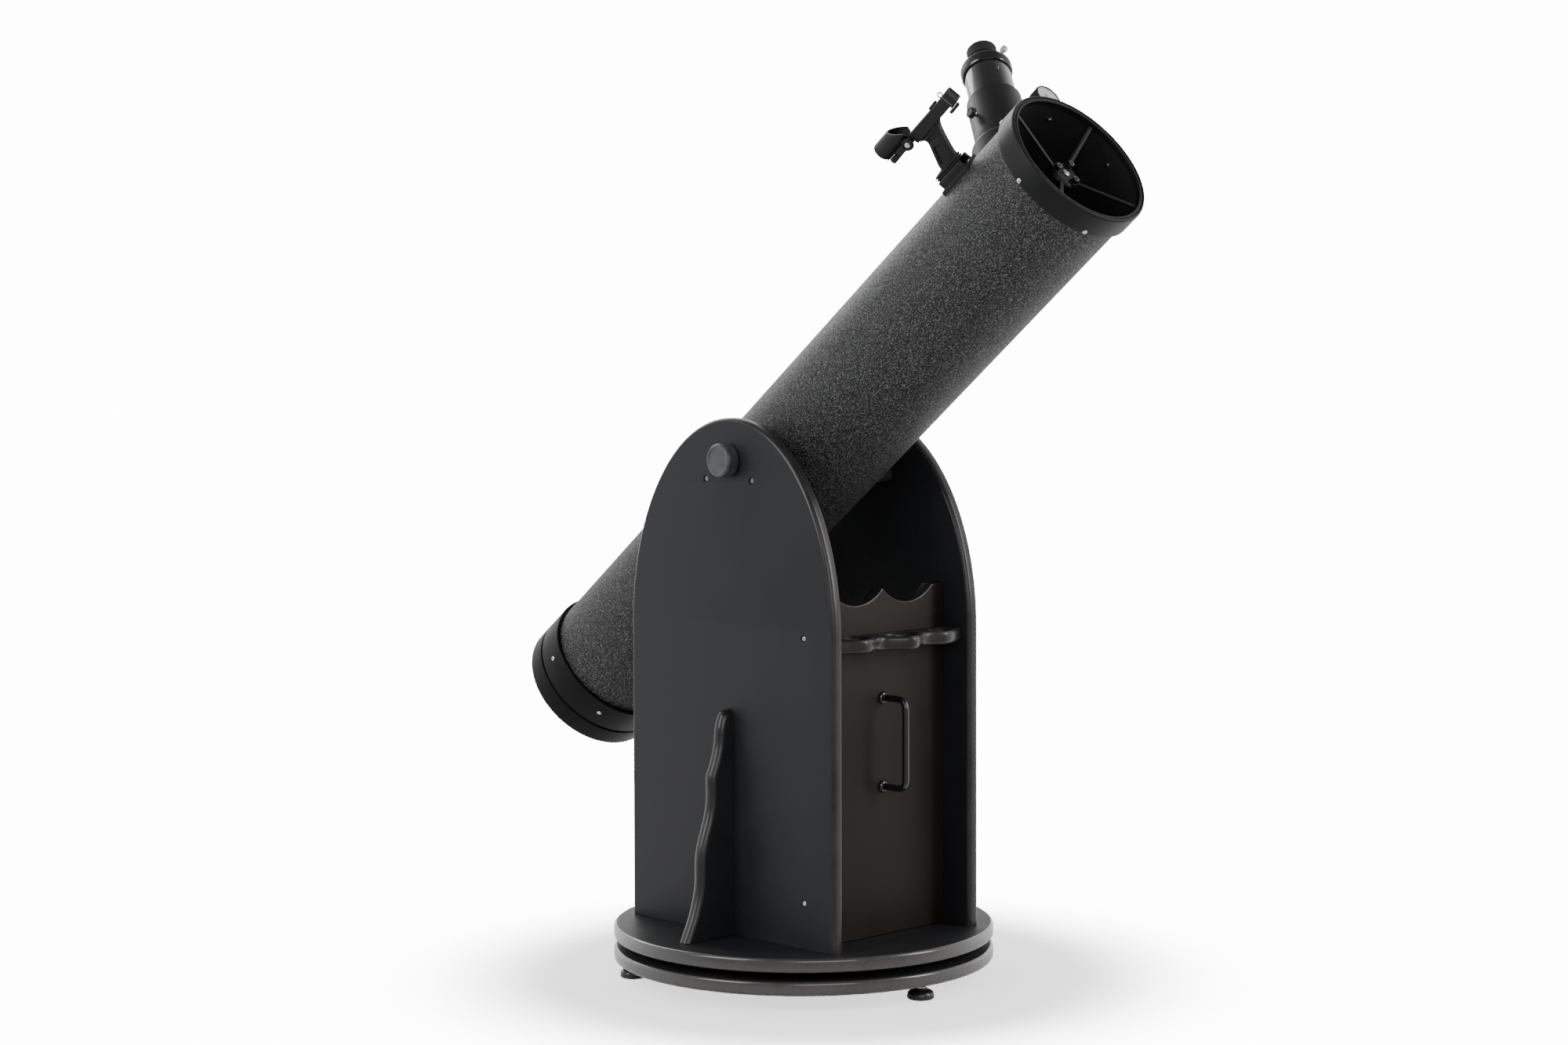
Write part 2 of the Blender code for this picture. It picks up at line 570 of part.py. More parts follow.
# ---------------------------------------------------------------- focuser and eyepiece
def build_focuser(focuser):
    """In this frame Z points out along the drawtube and Y points to the primary mirror."""
    bore = DRAWTUBE_RADIUS + 0.5 * MM
    base_radius = 43 * MM
    base_profile = [(base_radius - 3 * MM, BODY_BOTTOM - GAP),
                    (base_radius, BODY_BOTTOM - 4 * MM), (base_radius, 60 * MM),
                    (bore + MM, 60 * MM), (bore + MM, BODY_BOTTOM - GAP)]
    base = add("focuser_base", turned_mesh(base_profile, 36, ring=True), SATIN_BLACK)
    place(base, focuser)
    cut(base, rod_mesh(TUBE_CLEAR, -70 * MM, 70 * MM, "Y", RING_STEPS))
    profile = [(BODY_RADIUS - MM, BODY_TOP), (BODY_RADIUS, BODY_TOP - MM),
               (BODY_RADIUS, BODY_BOTTOM), (bore, BODY_BOTTOM), (bore, BODY_TOP)]
    body = add("focuser_body", turned_mesh(profile, 36, ring=True), SATIN_BLACK)
    place(body, focuser)
    slot_low, slot_high = PINION_HEIGHT - 8 * MM, PINION_HEIGHT + 8 * MM
    cut(body, box_mesh((25 * MM, -8 * MM, slot_low), (45 * MM, 8 * MM, slot_high)))
    cut(body, rod_mesh(2.6 * MM, -50 * MM, -28 * MM, "X", 12), (0, 0, 168 * MM))
    bracket = add("pinion_bracket", box_mesh(
        (20 * MM, -24 * MM, PINION_HEIGHT - 14 * MM), (49 * MM, 24 * MM, PINION_HEIGHT + 14 * MM),
        2 * MM), SATIN_BLACK)
    place(bracket, focuser)
    cut(bracket, rod_mesh(BODY_RADIUS + GAP, 160 * MM, 220 * MM, "Z", 40))
    cut(bracket, rod_mesh(3 * MM + GAP, -30 * MM, 30 * MM, "Y", 16),
        (PINION_OFFSET, 0, PINION_HEIGHT))
    cut(bracket, rod_mesh(6.4 * MM, -7.5 * MM, 7.5 * MM, "Y", 16),
        (PINION_OFFSET, 0, PINION_HEIGHT))
    tube_profile = [(DRAWTUBE_RADIUS, COLLAR_BOTTOM - GAP), (DRAWTUBE_RADIUS, 130 * MM),
                    (28 * MM, 130 * MM), (28 * MM, COLLAR_BOTTOM - GAP)]
    place(add("drawtube", turned_mesh(tube_profile, 36, ring=True), CHROME_BLACK), focuser)
    build_eyepiece(focuser)
    build_focus_shaft(focuser)
    screw = turned_mesh(
        [(0, 47 * MM), (6.5 * MM, 47 * MM), (7 * MM, 46 * MM), (7 * MM, 40 * MM),
         (2.2 * MM, 38 * MM), (2.2 * MM, 31 * MM), (0, 31 * MM)], 18
    )
    place(add("focus_lock_screw", screw, SATIN_BLACK), focuser, (0, 0, 168 * MM), (0, -90, 0))


def build_eyepiece(focuser):
    hole = 16.2 * MM
    profile = [(31.5 * MM, COLLAR_TOP), (32.8 * MM, COLLAR_TOP - 2 * MM),
               (32.8 * MM, COLLAR_BOTTOM), (27.7 * MM, COLLAR_BOTTOM), (27.7 * MM, 247 * MM),
               (hole, 247 * MM), (hole, COLLAR_TOP)]
    collar = add("eyepiece_collar", turned_mesh(profile, 28, ring=True), SATIN_BLACK)
    place(collar, focuser)
    screw_height = (COLLAR_BOTTOM + COLLAR_TOP) / 2
    screw_turn = (90, 0, -5)
    cut(collar, rod_mesh(2 * MM + GAP, 14 * MM, 36 * MM, "Z", 12), (0, 0, screw_height), screw_turn)
    screw = turned_mesh(
        [(0, 46 * MM), (4 * MM, 46 * MM), (4.5 * MM, 45 * MM), (4.5 * MM, 38 * MM),
         (2 * MM, 37 * MM), (2 * MM, 17 * MM), (0, 17 * MM)], 16
    )
    place(add("eyepiece_thumbscrew", screw, CHROME), focuser, (0, 0, screw_height), screw_turn)
    top = 290 * MM
    body = [(17 * MM, top), (18.5 * MM, top - 2 * MM), (18.5 * MM, COLLAR_TOP + 1.5 * MM),
            (17.5 * MM, COLLAR_TOP + GAP), (15.8 * MM, COLLAR_TOP + GAP), (15.8 * MM, 243 * MM),
            (13.5 * MM, 243 * MM), (13.5 * MM, 280 * MM), (10 * MM, 283 * MM), (10 * MM, top)]
    place(add("eyepiece_body", turned_mesh(body, 22, ring=True), SATIN_BLACK), focuser)
    cup = [(18 * MM, 306 * MM), (19.5 * MM, 304 * MM), (19 * MM, top + GAP),
           (10 * MM, top + GAP), (10 * MM, 293 * MM), (15.5 * MM, 306 * MM)]
    place(add("eyecup", turned_mesh(cup, 24, ring=True), RUBBER), focuser)
    lens = [(0, 288 * MM), (6 * MM, 287.5 * MM), (9.7 * MM, 286 * MM), (9.7 * MM, 284 * MM),
            (0, 284 * MM)]
    place(add("eye_lens", turned_mesh(lens, 20), GLASS), focuser)


def build_focus_shaft(focuser):
    along = (-90, 0, 0)
    spot = (PINION_OFFSET, 0, PINION_HEIGHT)
    shaft = [(0, 40 * MM), (3 * MM, 40 * MM), (3 * MM, 6.8 * MM), (5.8 * MM, 6.5 * MM),
             (5.8 * MM, -6.5 * MM), (3 * MM, -6.8 * MM), (3 * MM, -40 * MM), (0, -40 * MM)]
    place(add("pinion_shaft", turned_mesh(shaft, 18), STEEL), focuser, spot, along)
    for side, label in ((1, "rear"), (-1, "front")):
        profile = [(0, 59 * MM), (17.5 * MM, 59 * MM), (19 * MM, 57.5 * MM),
                   (19 * MM, 42.5 * MM), (17.5 * MM, 40.6 * MM), (0, 40.6 * MM)]
        knob = turned_mesh(profile, 28)
        turn = (-90, 0, 0) if side > 0 else (90, 0, 0)
        place(add(f"focus_knob_{label}", knob, KNOB), focuser, spot, turn)


# ---------------------------------------------------------------- finder
def build_finder(finder):
    """In this frame Y points out from the tube and Z runs along it to the open end."""
    shoe = add("finder_shoe", box_mesh(
        (-16 * MM, 80 * MM, -15 * MM), (16 * MM, 106 * MM, 26 * MM), MM), SATIN_BLACK)
    place(shoe, finder)
    join(shoe, box_mesh((-19 * MM, 80 * MM, -20 * MM), (19 * MM, 96 * MM, 30 * MM), MM))
    cut(shoe, rod_mesh(TUBE_CLEAR, -60 * MM, 60 * MM, "Z", RING_STEPS))
    slot = [(-11 * MM, 97.5 * MM), (11 * MM, 97.5 * MM), (8 * MM, 108 * MM), (-8 * MM, 108 * MM)]
    cut(shoe, plate_mesh(slot, 80 * MM, 0.2 * MM, depth=1))
    side_hole = rod_mesh(2 * MM + GAP, 8 * MM, 30 * MM, "X", 12)
    cut(shoe, side_hole, (0, 101.5 * MM, 0))
    build_finder_stalk(finder)
    bar = add("finder_bar", box_mesh(
        (-8 * MM, FINDER_BAR_BOTTOM, FINDER_BAR_REAR),
        (8 * MM, FINDER_BAR_TOP, FINDER_BAR_FRONT - 2 * MM), 1.5 * MM), SATIN_BLACK)
    place(bar, finder)
    cap = box_mesh((-9 * MM, 153.3 * MM, FINDER_BAR_FRONT - 8.5 * MM),
                   (9 * MM, FINDER_BAR_TOP + 0.5 * MM, FINDER_BAR_FRONT), MM)
    join(bar, cap)
    bump = box_mesh((-5 * MM, 168 * MM, 50 * MM), (5 * MM, 174 * MM, 61 * MM), 1.5 * MM)
    join(bar, bump)
    build_finder_hood(finder)
    outward = (-90, 0, 0)
    wheel = turned_mesh(
        [(0, 0), (2.4 * MM, 0), (2.4 * MM, -2.4 * MM), (8.2 * MM, -2.6 * MM),
         (8.2 * MM, -6 * MM), (7.2 * MM, -7 * MM), (0, -7 * MM)], 20
    )
    place(add("finder_azimuth_wheel", wheel, KNOB), finder,
          (0, FINDER_BAR_BOTTOM - GAP, FINDER_WHEEL_Z), outward)
    wheel = turned_mesh(
        [(0, 0), (6.4 * MM, 0), (7.4 * MM, -MM), (7.4 * MM, -7.4 * MM), (6.4 * MM, -8.4 * MM),
         (0, -8.4 * MM)], 20
    )
    place(add("finder_elevation_wheel", wheel, KNOB), finder, (0, 168.5 * MM, -32.4 * MM),
          outward)
    screw = turned_mesh(
        [(0, 27 * MM), (5 * MM, 27 * MM), (5.5 * MM, 26 * MM), (5.5 * MM, 19 * MM),
         (2 * MM, 18 * MM), (2 * MM, 12.5 * MM), (0, 12.5 * MM)], 16
    )
    place(add("finder_clamp_screw", screw, SATIN_BLACK), finder, (0, 101.5 * MM, 0),
          (0, 90, 0))


def build_finder_stalk(finder):
    """A dovetail foot in the shoe, with a post that leans towards the open end."""
    top = FINDER_BAR_BOTTOM - 0.6 * MM
    foot_bottom = 106.6 * MM
    foot_top = 112.6 * MM
    foot_rear = 16 * MM
    foot_front = 24.6 * MM
    outline = [(foot_rear, foot_bottom), (foot_rear, foot_top), (2.7 * MM, 114 * MM),
               (1.3 * MM, 119 * MM), (-14 * MM, 145.5 * MM), (-14.8 * MM, 150 * MM),
               (-12.5 * MM, 153 * MM), (-7 * MM, top), (-46 * MM, top),
               (-40.5 * MM, 150 * MM), (-32.8 * MM, 135.2 * MM), (-24.4 * MM, 116 * MM),
               (-foot_front, foot_top), (-foot_front, foot_bottom)]
    post = plate_mesh(outline, 12 * MM, 0.6 * MM, depth=1)
    stalk = add("finder_stalk", post, SATIN_BLACK)
    place(stalk, finder, (0, 0, 0), (0, 90, 0))
    dovetail = [(-10.2 * MM, 98 * MM), (10.2 * MM, 98 * MM), (7.3 * MM, 107.5 * MM),
                (-7.3 * MM, 107.5 * MM)]
    join(stalk, plate_mesh(dovetail, 31 * MM, 0.2 * MM, depth=1))
    foot = box_mesh((-10 * MM, foot_bottom, -foot_rear), (10 * MM, foot_top, foot_front))
    join(stalk, foot)


def build_finder_hood(finder):
    centre = 181.3 * MM
    shell = [(12.4 * MM, 5 * MM), (12.4 * MM, -38 * MM), (11.4 * MM, -40 * MM),
             (9.6 * MM, -40 * MM), (10.8 * MM, -36 * MM), (10.8 * MM, 5 * MM)]
    hood = add("finder_hood", turned_mesh(shell, 22, ring=True), SATIN_BLACK)
    place(hood, finder, (0, centre, 0))
    floor = box_mesh((-7 * MM, 168.9 * MM, -39.5 * MM), (7 * MM, 170.2 * MM, 4 * MM))
    join(hood, floor)
    block = box_mesh((-7.5 * MM, HOOD_BOTTOM, -24 * MM), (7.5 * MM, 170 * MM, 5 * MM), MM)
    join(hood, block)
    slope = box_mesh((-20 * MM, -20 * MM, 0), (20 * MM, 40 * MM, 30 * MM))
    cut(hood, slope, (0, 184 * MM, -2 * MM), (-HOOD_SLOPE, 0, 0))
    lens = rounded_bar(10.4 * MM, -30 * MM, -27.5 * MM, 0.5 * MM, 1)
    place(add("finder_lens", turned_mesh(lens, 24), GLASS), finder, (0, centre, 0))
    knob = turned_mesh(
        [(0, 15 * MM), (6.8 * MM, 15 * MM), (7.8 * MM, 14 * MM), (7.8 * MM, 9.4 * MM),
         (3 * MM, 9.4 * MM), (3 * MM, 8 * MM), (0, 8 * MM)], 24
    )
    place(add("finder_power_knob", knob, KNOB), finder, (0, 164.5 * MM, -1 * MM), (0, -90, 0))


# ---------------------------------------------------------------- tension knobs
def build_tension_knobs(azimuth):
    head = PANEL_OUTER_X + 0.5 * MM
    for side, label in ((-1, "left"), (1, "right")):
        profile = [(0, head + 19 * MM), (19 * MM, head + 19 * MM), (21.5 * MM, head + 16.5 * MM),
                   (21.5 * MM, head + 3 * MM), (20 * MM, head), (STUD_RADIUS, head),
                   (STUD_RADIUS, 100 * MM), (0, 100 * MM)]
        knob = turned_mesh(profile, 28)
        place(add(f"tension_knob_{label}", knob, KNOB), azimuth, (0, 0, ALTITUDE_HEIGHT),
              (0, side * 90, 0))


clear_scene()
PARTS = new_collection(PARTS_NAME)
CUTTERS = new_collection(CUTTERS_NAME)
LAMINATE = finish("black_laminate", (0.022, 0.022, 0.026), 0.5)
TUBE_COAT = finish("speckled_coat", (0.05, 0.05, 0.052), 0.65)
SATIN_BLACK = finish("satin_black", (0.02, 0.02, 0.02), 0.42)
CHROME_BLACK = finish("gloss_black", (0.012, 0.012, 0.012), 0.12)
KNOB = finish("knob_grey", (0.06, 0.063, 0.07), 0.45)
RUBBER = finish("black_rubber", (0.015, 0.015, 0.015), 0.75)
NYLON = finish("white_nylon", (0.75, 0.74, 0.7), 0.45)
STEEL = finish("bright_steel", (0.6, 0.6, 0.6), 0.3, 1.0)
CHROME = finish("chrome", (0.75, 0.75, 0.75), 0.12, 1.0)
ALUMINIUM = finish("aluminium", (0.55, 0.55, 0.56), 0.4, 1.0)
MIRROR = finish("mirror_glass", (0.85, 0.86, 0.87), 0.03, 1.0)
GLASS = finish("coated_glass", (0.12, 0.07, 0.13), 0.05)

BASE = axis_frame("base", (0, AZIMUTH_Y, 0))
AZIMUTH = axis_frame("azimuth_axis", (0, 0, 0), parent=BASE)
ALTITUDE = axis_frame("altitude_axis", (0, 0, ALTITUDE_HEIGHT), (90 - ALTITUDE_ANGLE, 0, 0), AZIMUTH)
FOCUSER = axis_frame("focuser_axis", (0, 0, FOCUSER_STATION), (-90, 0, -FOCUSER_TURN), ALTITUDE)
FINDER = axis_frame("finder_axis", (0, 0, FINDER_STATION), (0, 0, -FINDER_TURN), ALTITUDE)
CELL = axis_frame("cell_axis", (0, 0, GROOVE_STATION), parent=ALTITUDE)

build_base(BASE)
build_roller_cage(AZIMUTH)
build_rocker(AZIMUTH)
build_tube(ALTITUDE)
build_mirror_cell(CELL)
build_spider(ALTITUDE)
build_focuser(FOCUSER)
build_finder(FINDER)
build_tension_knobs(AZIMUTH)
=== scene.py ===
"""Dobsonian telescope: the visual model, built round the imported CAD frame.

Shapes are made in millimetres in the local frame they belong to (tube, focuser, finder, rear
cell, base) and are scaled to metres when they become pieces. The frames themselves come from
the record's joints and the CAD nodes.
"""
import json
import math

import bmesh
import bpy
from mathutils import Matrix, Vector


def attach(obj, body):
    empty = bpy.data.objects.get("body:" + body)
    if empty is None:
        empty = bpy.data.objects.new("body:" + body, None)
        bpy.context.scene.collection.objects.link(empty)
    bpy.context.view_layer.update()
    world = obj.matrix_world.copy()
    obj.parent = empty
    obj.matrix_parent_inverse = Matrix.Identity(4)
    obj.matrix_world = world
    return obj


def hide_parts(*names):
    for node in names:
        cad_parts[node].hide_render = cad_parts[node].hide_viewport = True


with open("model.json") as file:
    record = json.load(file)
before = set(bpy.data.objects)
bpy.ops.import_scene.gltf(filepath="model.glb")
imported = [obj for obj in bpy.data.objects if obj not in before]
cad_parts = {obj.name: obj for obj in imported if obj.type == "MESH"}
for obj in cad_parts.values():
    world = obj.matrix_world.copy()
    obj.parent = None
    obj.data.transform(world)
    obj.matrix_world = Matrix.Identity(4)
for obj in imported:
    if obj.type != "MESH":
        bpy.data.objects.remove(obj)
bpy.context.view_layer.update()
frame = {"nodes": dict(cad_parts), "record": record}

MM = 0.001
TO_METRES = Matrix.Scale(MM, 4)
SMOOTH_ANGLE = 32
WELD = 0.001

JOINTS = {joint["name"]: joint for joint in frame["record"]["behaviour"]["joints"]}


# ---- frames
def joint_point(name):
    return Vector(JOINTS[name]["pos_m"])


def joint_axis(name):
    return Vector(JOINTS[name]["axis"]).normalized()


def axes(origin, x, y, z):
    """A frame's matrix from its origin and its three directions."""
    matrix = Matrix((x, y, z)).transposed().to_4x4()
    matrix.translation = origin
    return matrix


def rotation(angle, axis):
    return Matrix.Rotation(math.radians(angle), 4, axis)


def moved(matrix, x, y, z):
    """A frame moved along its own directions, by millimetres."""
    return matrix @ Matrix.Translation((x * MM, y * MM, z * MM))


def span(node, matrix):
    """A CAD node's lowest and highest corner in a local frame, in millimetres."""
    inverse = matrix.inverted()
    points = [inverse @ vertex.co / MM for vertex in frame["nodes"][node].data.vertices]
    low = Vector(min(point[i] for point in points) for i in range(3))
    high = Vector(max(point[i] for point in points) for i in range(3))
    return low, high


def middle(node, matrix):
    low, high = span(node, matrix)
    return (low + high) / 2


def off_axis(point):
    return math.hypot(point.x, point.y)


PIVOT = joint_point("altitude_tilt")
ALONG = -joint_axis("focus_knob_turn")
SIDE = Vector((1, 0, 0))
TUBE = axes(PIVOT, SIDE, ALONG.cross(SIDE), ALONG)

FOCUSER_OUT = joint_axis("focus_slide")
FOCUSER_STATION = (joint_point("focus_knob_turn") - PIVOT).dot(ALONG)
FOCUSER = axes(PIVOT + FOCUSER_STATION * ALONG, FOCUSER_OUT.cross(ALONG), -ALONG, FOCUSER_OUT)

FINDER_OUT = joint_axis("finder_azimuth_wheel_turn")
FINDER_STATION = (joint_point("finder_clamp_turn") - PIVOT).dot(ALONG)
FINDER = axes(PIVOT + FINDER_STATION * ALONG, FINDER_OUT.cross(ALONG), FINDER_OUT, ALONG)

TUBE_LOW, TUBE_HIGH = span("main_tube", TUBE)
TUBE_RADIUS = TUBE_HIGH.x
TUBE_WALL = 1.5
TUBE_FIT = TUBE_RADIUS + 0.3
RIM_LOW, RIM_HIGH = span("front_ring", TUBE)
RING_RADIUS = RIM_HIGH.x
CELL_LOW, CELL_HIGH = span("mirror_cell", TUBE)
CELL_BEHIND_GROOVE = 32
GROOVE = CELL_LOW.z + CELL_BEHIND_GROOVE
CELL = moved(TUBE, 0, 0, GROOVE)

BASE = Matrix.Translation((PIVOT.x, PIVOT.y, 0))
FACING_SIDE = axes((PIVOT.x, PIVOT.y, 0), Vector((0, 1, 0)), Vector((0, 0, 1)), Vector((1, 0, 0)))
FACING_FRONT = axes((PIVOT.x, PIVOT.y, 0), Vector((1, 0, 0)), Vector((0, 0, 1)), Vector((0, -1, 0)))


# ---- materials
def link(owner, source, output, target, socket):
    """Joins two nodes of a material or of the world."""
    owner.node_tree.links.new(source.outputs[output], target.inputs[socket])


def new_node(owner, kind, **values):
    node = owner.node_tree.nodes.new(kind)
    for name, value in values.items():
        node.inputs[name.replace("_", " ")].default_value = value
    return node


def math_node(owner, kind, operation):
    node = new_node(owner, kind)
    node.operation = operation
    return node


def new_material(name, shine):
    material = bpy.data.materials.new(name)
    material.use_nodes = True
    shader = material.node_tree.nodes["Principled BSDF"]
    shader.inputs["Specular IOR Level"].default_value = shine
    return material, shader


def finish_surface(material, tint, spread, bump):
    shader = material.node_tree.nodes["Principled BSDF"]
    link(material, tint, "Color", shader, "Base Color")
    link(material, spread, "Result", shader, "Roughness")
    link(material, bump, "Normal", shader, "Normal")
    return material


def ramp(material, stops):
    node = material.node_tree.nodes.new("ShaderNodeValToRGB")
    elements = node.color_ramp.elements
    while len(elements) < len(stops):
        elements.new(0.5)
    for element, (position, colour) in zip(elements, stops):
        element.position = position
        element.color = (*colour, 1.0)
    return node


def surface(name, colour, roughness, metallic=0.0, grain=900.0, relief=0.15, vary=0.2, wear=0.06,
            coat=0.0, cloud=18.0, shine=0.5):
    """Paint, plastic or metal: fine grain in the relief, slow clouds in colour and roughness."""
    material, shader = new_material(name, shine)
    shader.inputs["Metallic"].default_value = metallic
    shader.inputs["Coat Weight"].default_value = coat
    shader.inputs["Coat Roughness"].default_value = 0.12
    place = new_node(material, "ShaderNodeTexCoord")
    clouds = new_node(material, "ShaderNodeTexNoise", Scale=cloud, Detail=5.0)
    fine = new_node(material, "ShaderNodeTexNoise", Scale=grain, Detail=3.0)
    tint = ramp(material, [(0.3, [c * (1 - vary) for c in colour]),
                           (0.7, [c * (1 + vary) for c in colour])])
    spread = new_node(material, "ShaderNodeMapRange", From_Min=0.3, From_Max=0.7,
                      To_Min=roughness - wear, To_Max=roughness + wear)
    bump = new_node(material, "ShaderNodeBump", Strength=relief, Distance=0.0002)
    for texture in (clouds, fine):
        link(material, place, "Object", texture, "Vector")
    link(material, clouds, "Fac", tint, "Fac")
    link(material, clouds, "Fac", spread, "Value")
    link(material, fine, "Fac", bump, "Height")
    return finish_surface(material, tint, spread, bump)


def speckled_coat():
    """Textured tube paint: black grains of about 2 mm with light grey specks between them."""
    material, _ = new_material("speckled_coat", 0.34)
    place = new_node(material, "ShaderNodeTexCoord")
    grains = new_node(material, "ShaderNodeTexNoise", Scale=640.0, Detail=1.0, Roughness=0.5)
    patches = new_node(material, "ShaderNodeTexNoise", Scale=210.0, Detail=2.0)
    mixed = math_node(material, "ShaderNodeMath", "MULTIPLY_ADD")
    mixed.inputs[1].default_value = 0.18
    tint = ramp(material, [(0.49, (0.007, 0.007, 0.0072)), (0.61, (0.021, 0.0214, 0.0216)),
                           (0.75, (0.135, 0.139, 0.139))])
    spread = new_node(material, "ShaderNodeMapRange", From_Min=0.5, From_Max=0.85, To_Min=0.60,
                      To_Max=0.42)
    bump = new_node(material, "ShaderNodeBump", Strength=0.55, Distance=0.0005)
    for texture in (grains, patches):
        link(material, place, "Object", texture, "Vector")
    link(material, patches, "Fac", mixed, 0)
    link(material, grains, "Fac", mixed, 2)
    for node, socket in ((tint, "Fac"), (spread, "Value"), (bump, "Height")):
        link(material, mixed, 0, node, socket)
    return finish_surface(material, tint, spread, bump)


def ribbed(name, colour, roughness, pitch):
    """A surface with fine moulded ribs round the piece, one every pitch metres."""
    material = surface(name, colour, roughness)
    nodes = material.node_tree.nodes
    place = next(node for node in nodes if node.type == "TEX_COORD")
    fine = next(node for node in nodes if node.type == "BUMP")
    wave = new_node(material, "ShaderNodeTexWave", Scale=1.0 / pitch / 20)
    wave.bands_direction = "Z"
    bump = new_node(material, "ShaderNodeBump", Strength=0.6, Distance=0.0004)
    link(material, place, "Object", wave, "Vector")
    link(material, wave, "Fac", bump, "Height")
    link(material, fine, "Normal", bump, "Normal")
    link(material, bump, "Normal", nodes["Principled BSDF"], "Normal")
    return material


def coated_glass(name, colour, roughness):
    material = surface(name, colour, roughness, relief=0.0, vary=0.35, wear=0.01, cloud=60.0)
    shader = material.node_tree.nodes["Principled BSDF"]
    shader.inputs["Coat Weight"].default_value = 1.0
    shader.inputs["Coat Roughness"].default_value = 0.02
    shader.inputs["IOR"].default_value = 1.6
    return material


LAMINATE = surface("laminate", (0.0155, 0.0160, 0.0188), 0.46, grain=420.0, relief=0.10,
                   vary=0.16, cloud=9.0, shine=0.28)
BOARD_EDGE = surface("painted_edge", (0.019, 0.0175, 0.0165), 0.32, grain=260.0, relief=0.16,
                     vary=0.22, wear=0.07, coat=0.2, cloud=30.0, shine=0.4)
FRONT_LAMINATE = surface("front_laminate", (0.0165, 0.0122, 0.0102), 0.44, grain=420.0,
                         relief=0.08, vary=0.2, cloud=7.0, shine=0.18)
# Base rim: lighter partly because it is the boards' real semi-gloss brown-grey edge, and partly as painted
# highlight for the bright lines along the rims.
BASE_RIM_AND_SHEEN = surface("base_rim_and_sheen", (0.043, 0.040, 0.038), 0.27, grain=260.0, relief=0.10, vary=0.16,
                   wear=0.05, coat=0.8, cloud=30.0)
TUBE_COAT = speckled_coat()
INNER_BLACK = surface("inner_black", (0.004, 0.004, 0.0045), 0.75, grain=600.0, relief=0.25)
RING_BLACK = surface("ring_black", (0.0075, 0.0076, 0.0085), 0.44, grain=1100.0, relief=0.22,
                     shine=0.24)
# Painted shade: a darker copy of ring_black for the mirror cell at the tube's lower end.
SHADED_RING_BLACK = surface("ring_black_painted_shade", (0.0040, 0.0040, 0.0044), 0.42, grain=1100.0, relief=0.22,
                     shine=0.15)
FOCUSER_BLACK = surface("focuser_black", (0.0100, 0.0096, 0.0096), 0.42, grain=1300.0, relief=0.25,
                        shine=0.38)
GLOSS_BLACK = surface("gloss_black", (0.008, 0.008, 0.009), 0.13, grain=90.0, relief=0.05, coat=0.6,
                      wear=0.03)
HANDLE_BLACK = surface("handle_black", (0.012, 0.012, 0.012), 0.22, grain=200.0, relief=0.08, coat=0.5)
FINDER_BLACK = surface("finder_black", (0.011, 0.011, 0.0115), 0.48, grain=1500.0, relief=0.3,
                       shine=0.4)
KNOB_GREY = surface("knob_grey", (0.062, 0.068, 0.076), 0.40, grain=520.0, relief=0.30, vary=0.3,
                    wear=0.1, cloud=60.0)
FOOT_BLACK = surface("foot_black", (0.010, 0.010, 0.010), 0.30, grain=700.0, relief=0.2, coat=0.3)
EYECUP_RUBBER = ribbed("eyecup_rubber", (0.020, 0.020, 0.021), 0.62, 0.0019)
NYLON = surface("white_nylon", (0.72, 0.71, 0.67), 0.42, grain=500.0, relief=0.1, vary=0.05)
# Painted shade: the white nylon bearing pads are given a dark colour for the shade they sit in.
SHADED_PAD_NYLON = surface("nylon_painted_shade", (0.035, 0.034, 0.032), 0.42, grain=500.0, relief=0.1, vary=0.1)
ZINC = surface("zinc_steel", (0.62, 0.62, 0.61), 0.28, 1.0, grain=350.0, relief=0.1, vary=0.15, wear=0.1)
SCREW_STEEL = surface("screw_steel", (0.78, 0.77, 0.76), 0.24, 1.0, grain=800.0, relief=0.1, vary=0.12)
CHROME = surface("thumbscrew_chrome", (0.80, 0.78, 0.76), 0.14, 1.0, grain=700.0, relief=0.05, vary=0.08)
ALUMINIUM = surface("bare_aluminium", (0.55, 0.55, 0.56), 0.36, 1.0, grain=500.0, relief=0.15)
MIRROR = surface("mirror_coat", (0.86, 0.87, 0.88), 0.04, 1.0, grain=30.0, relief=0.0, vary=0.02,
                 wear=0.015)
SILVER_FACE = surface("silver_face", (0.86, 0.85, 0.86), 0.34, 1.0, grain=700.0, relief=0.08, vary=0.05)
PLUG_GREY = surface("plug_grey", (0.20, 0.19, 0.185), 0.50, grain=600.0, relief=0.2)
LENS = coated_glass("lens_glass", (0.030, 0.010, 0.034), 0.05)


# ---- mesh helpers, in millimetres
def finished(bm, name):
    bmesh.ops.remove_doubles(bm, verts=bm.verts, dist=WELD)
    bmesh.ops.recalc_face_normals(bm, faces=bm.faces)
    mesh = bpy.data.meshes.new(name)
    bm.to_mesh(mesh)
    bm.free()
    return mesh


def fillet(points, sizes, closed=False, steps=4):
    """A polyline with its corners rounded; sizes is one length, or one for each point."""
    count = len(points)
    points = [Vector(point) for point in points]
    sizes = [sizes] * count if isinstance(sizes, (int, float)) else sizes
    result = []
    for i, point in enumerate(points):
        size = sizes[i]
        if size == 0 or (not closed and i in (0, count - 1)):
            result.append(point)
            continue
        before, after = points[i - 1] - point, points[(i + 1) % count] - point
        start = point + before.normalized() * min(size, before.length * 0.49)
        end = point + after.normalized() * min(size, after.length * 0.49)
        for step in range(steps + 1):
            t = step / steps
            result.append(start * (1 - t) ** 2 + point * (2 * t * (1 - t)) + end * t * t)
    return result


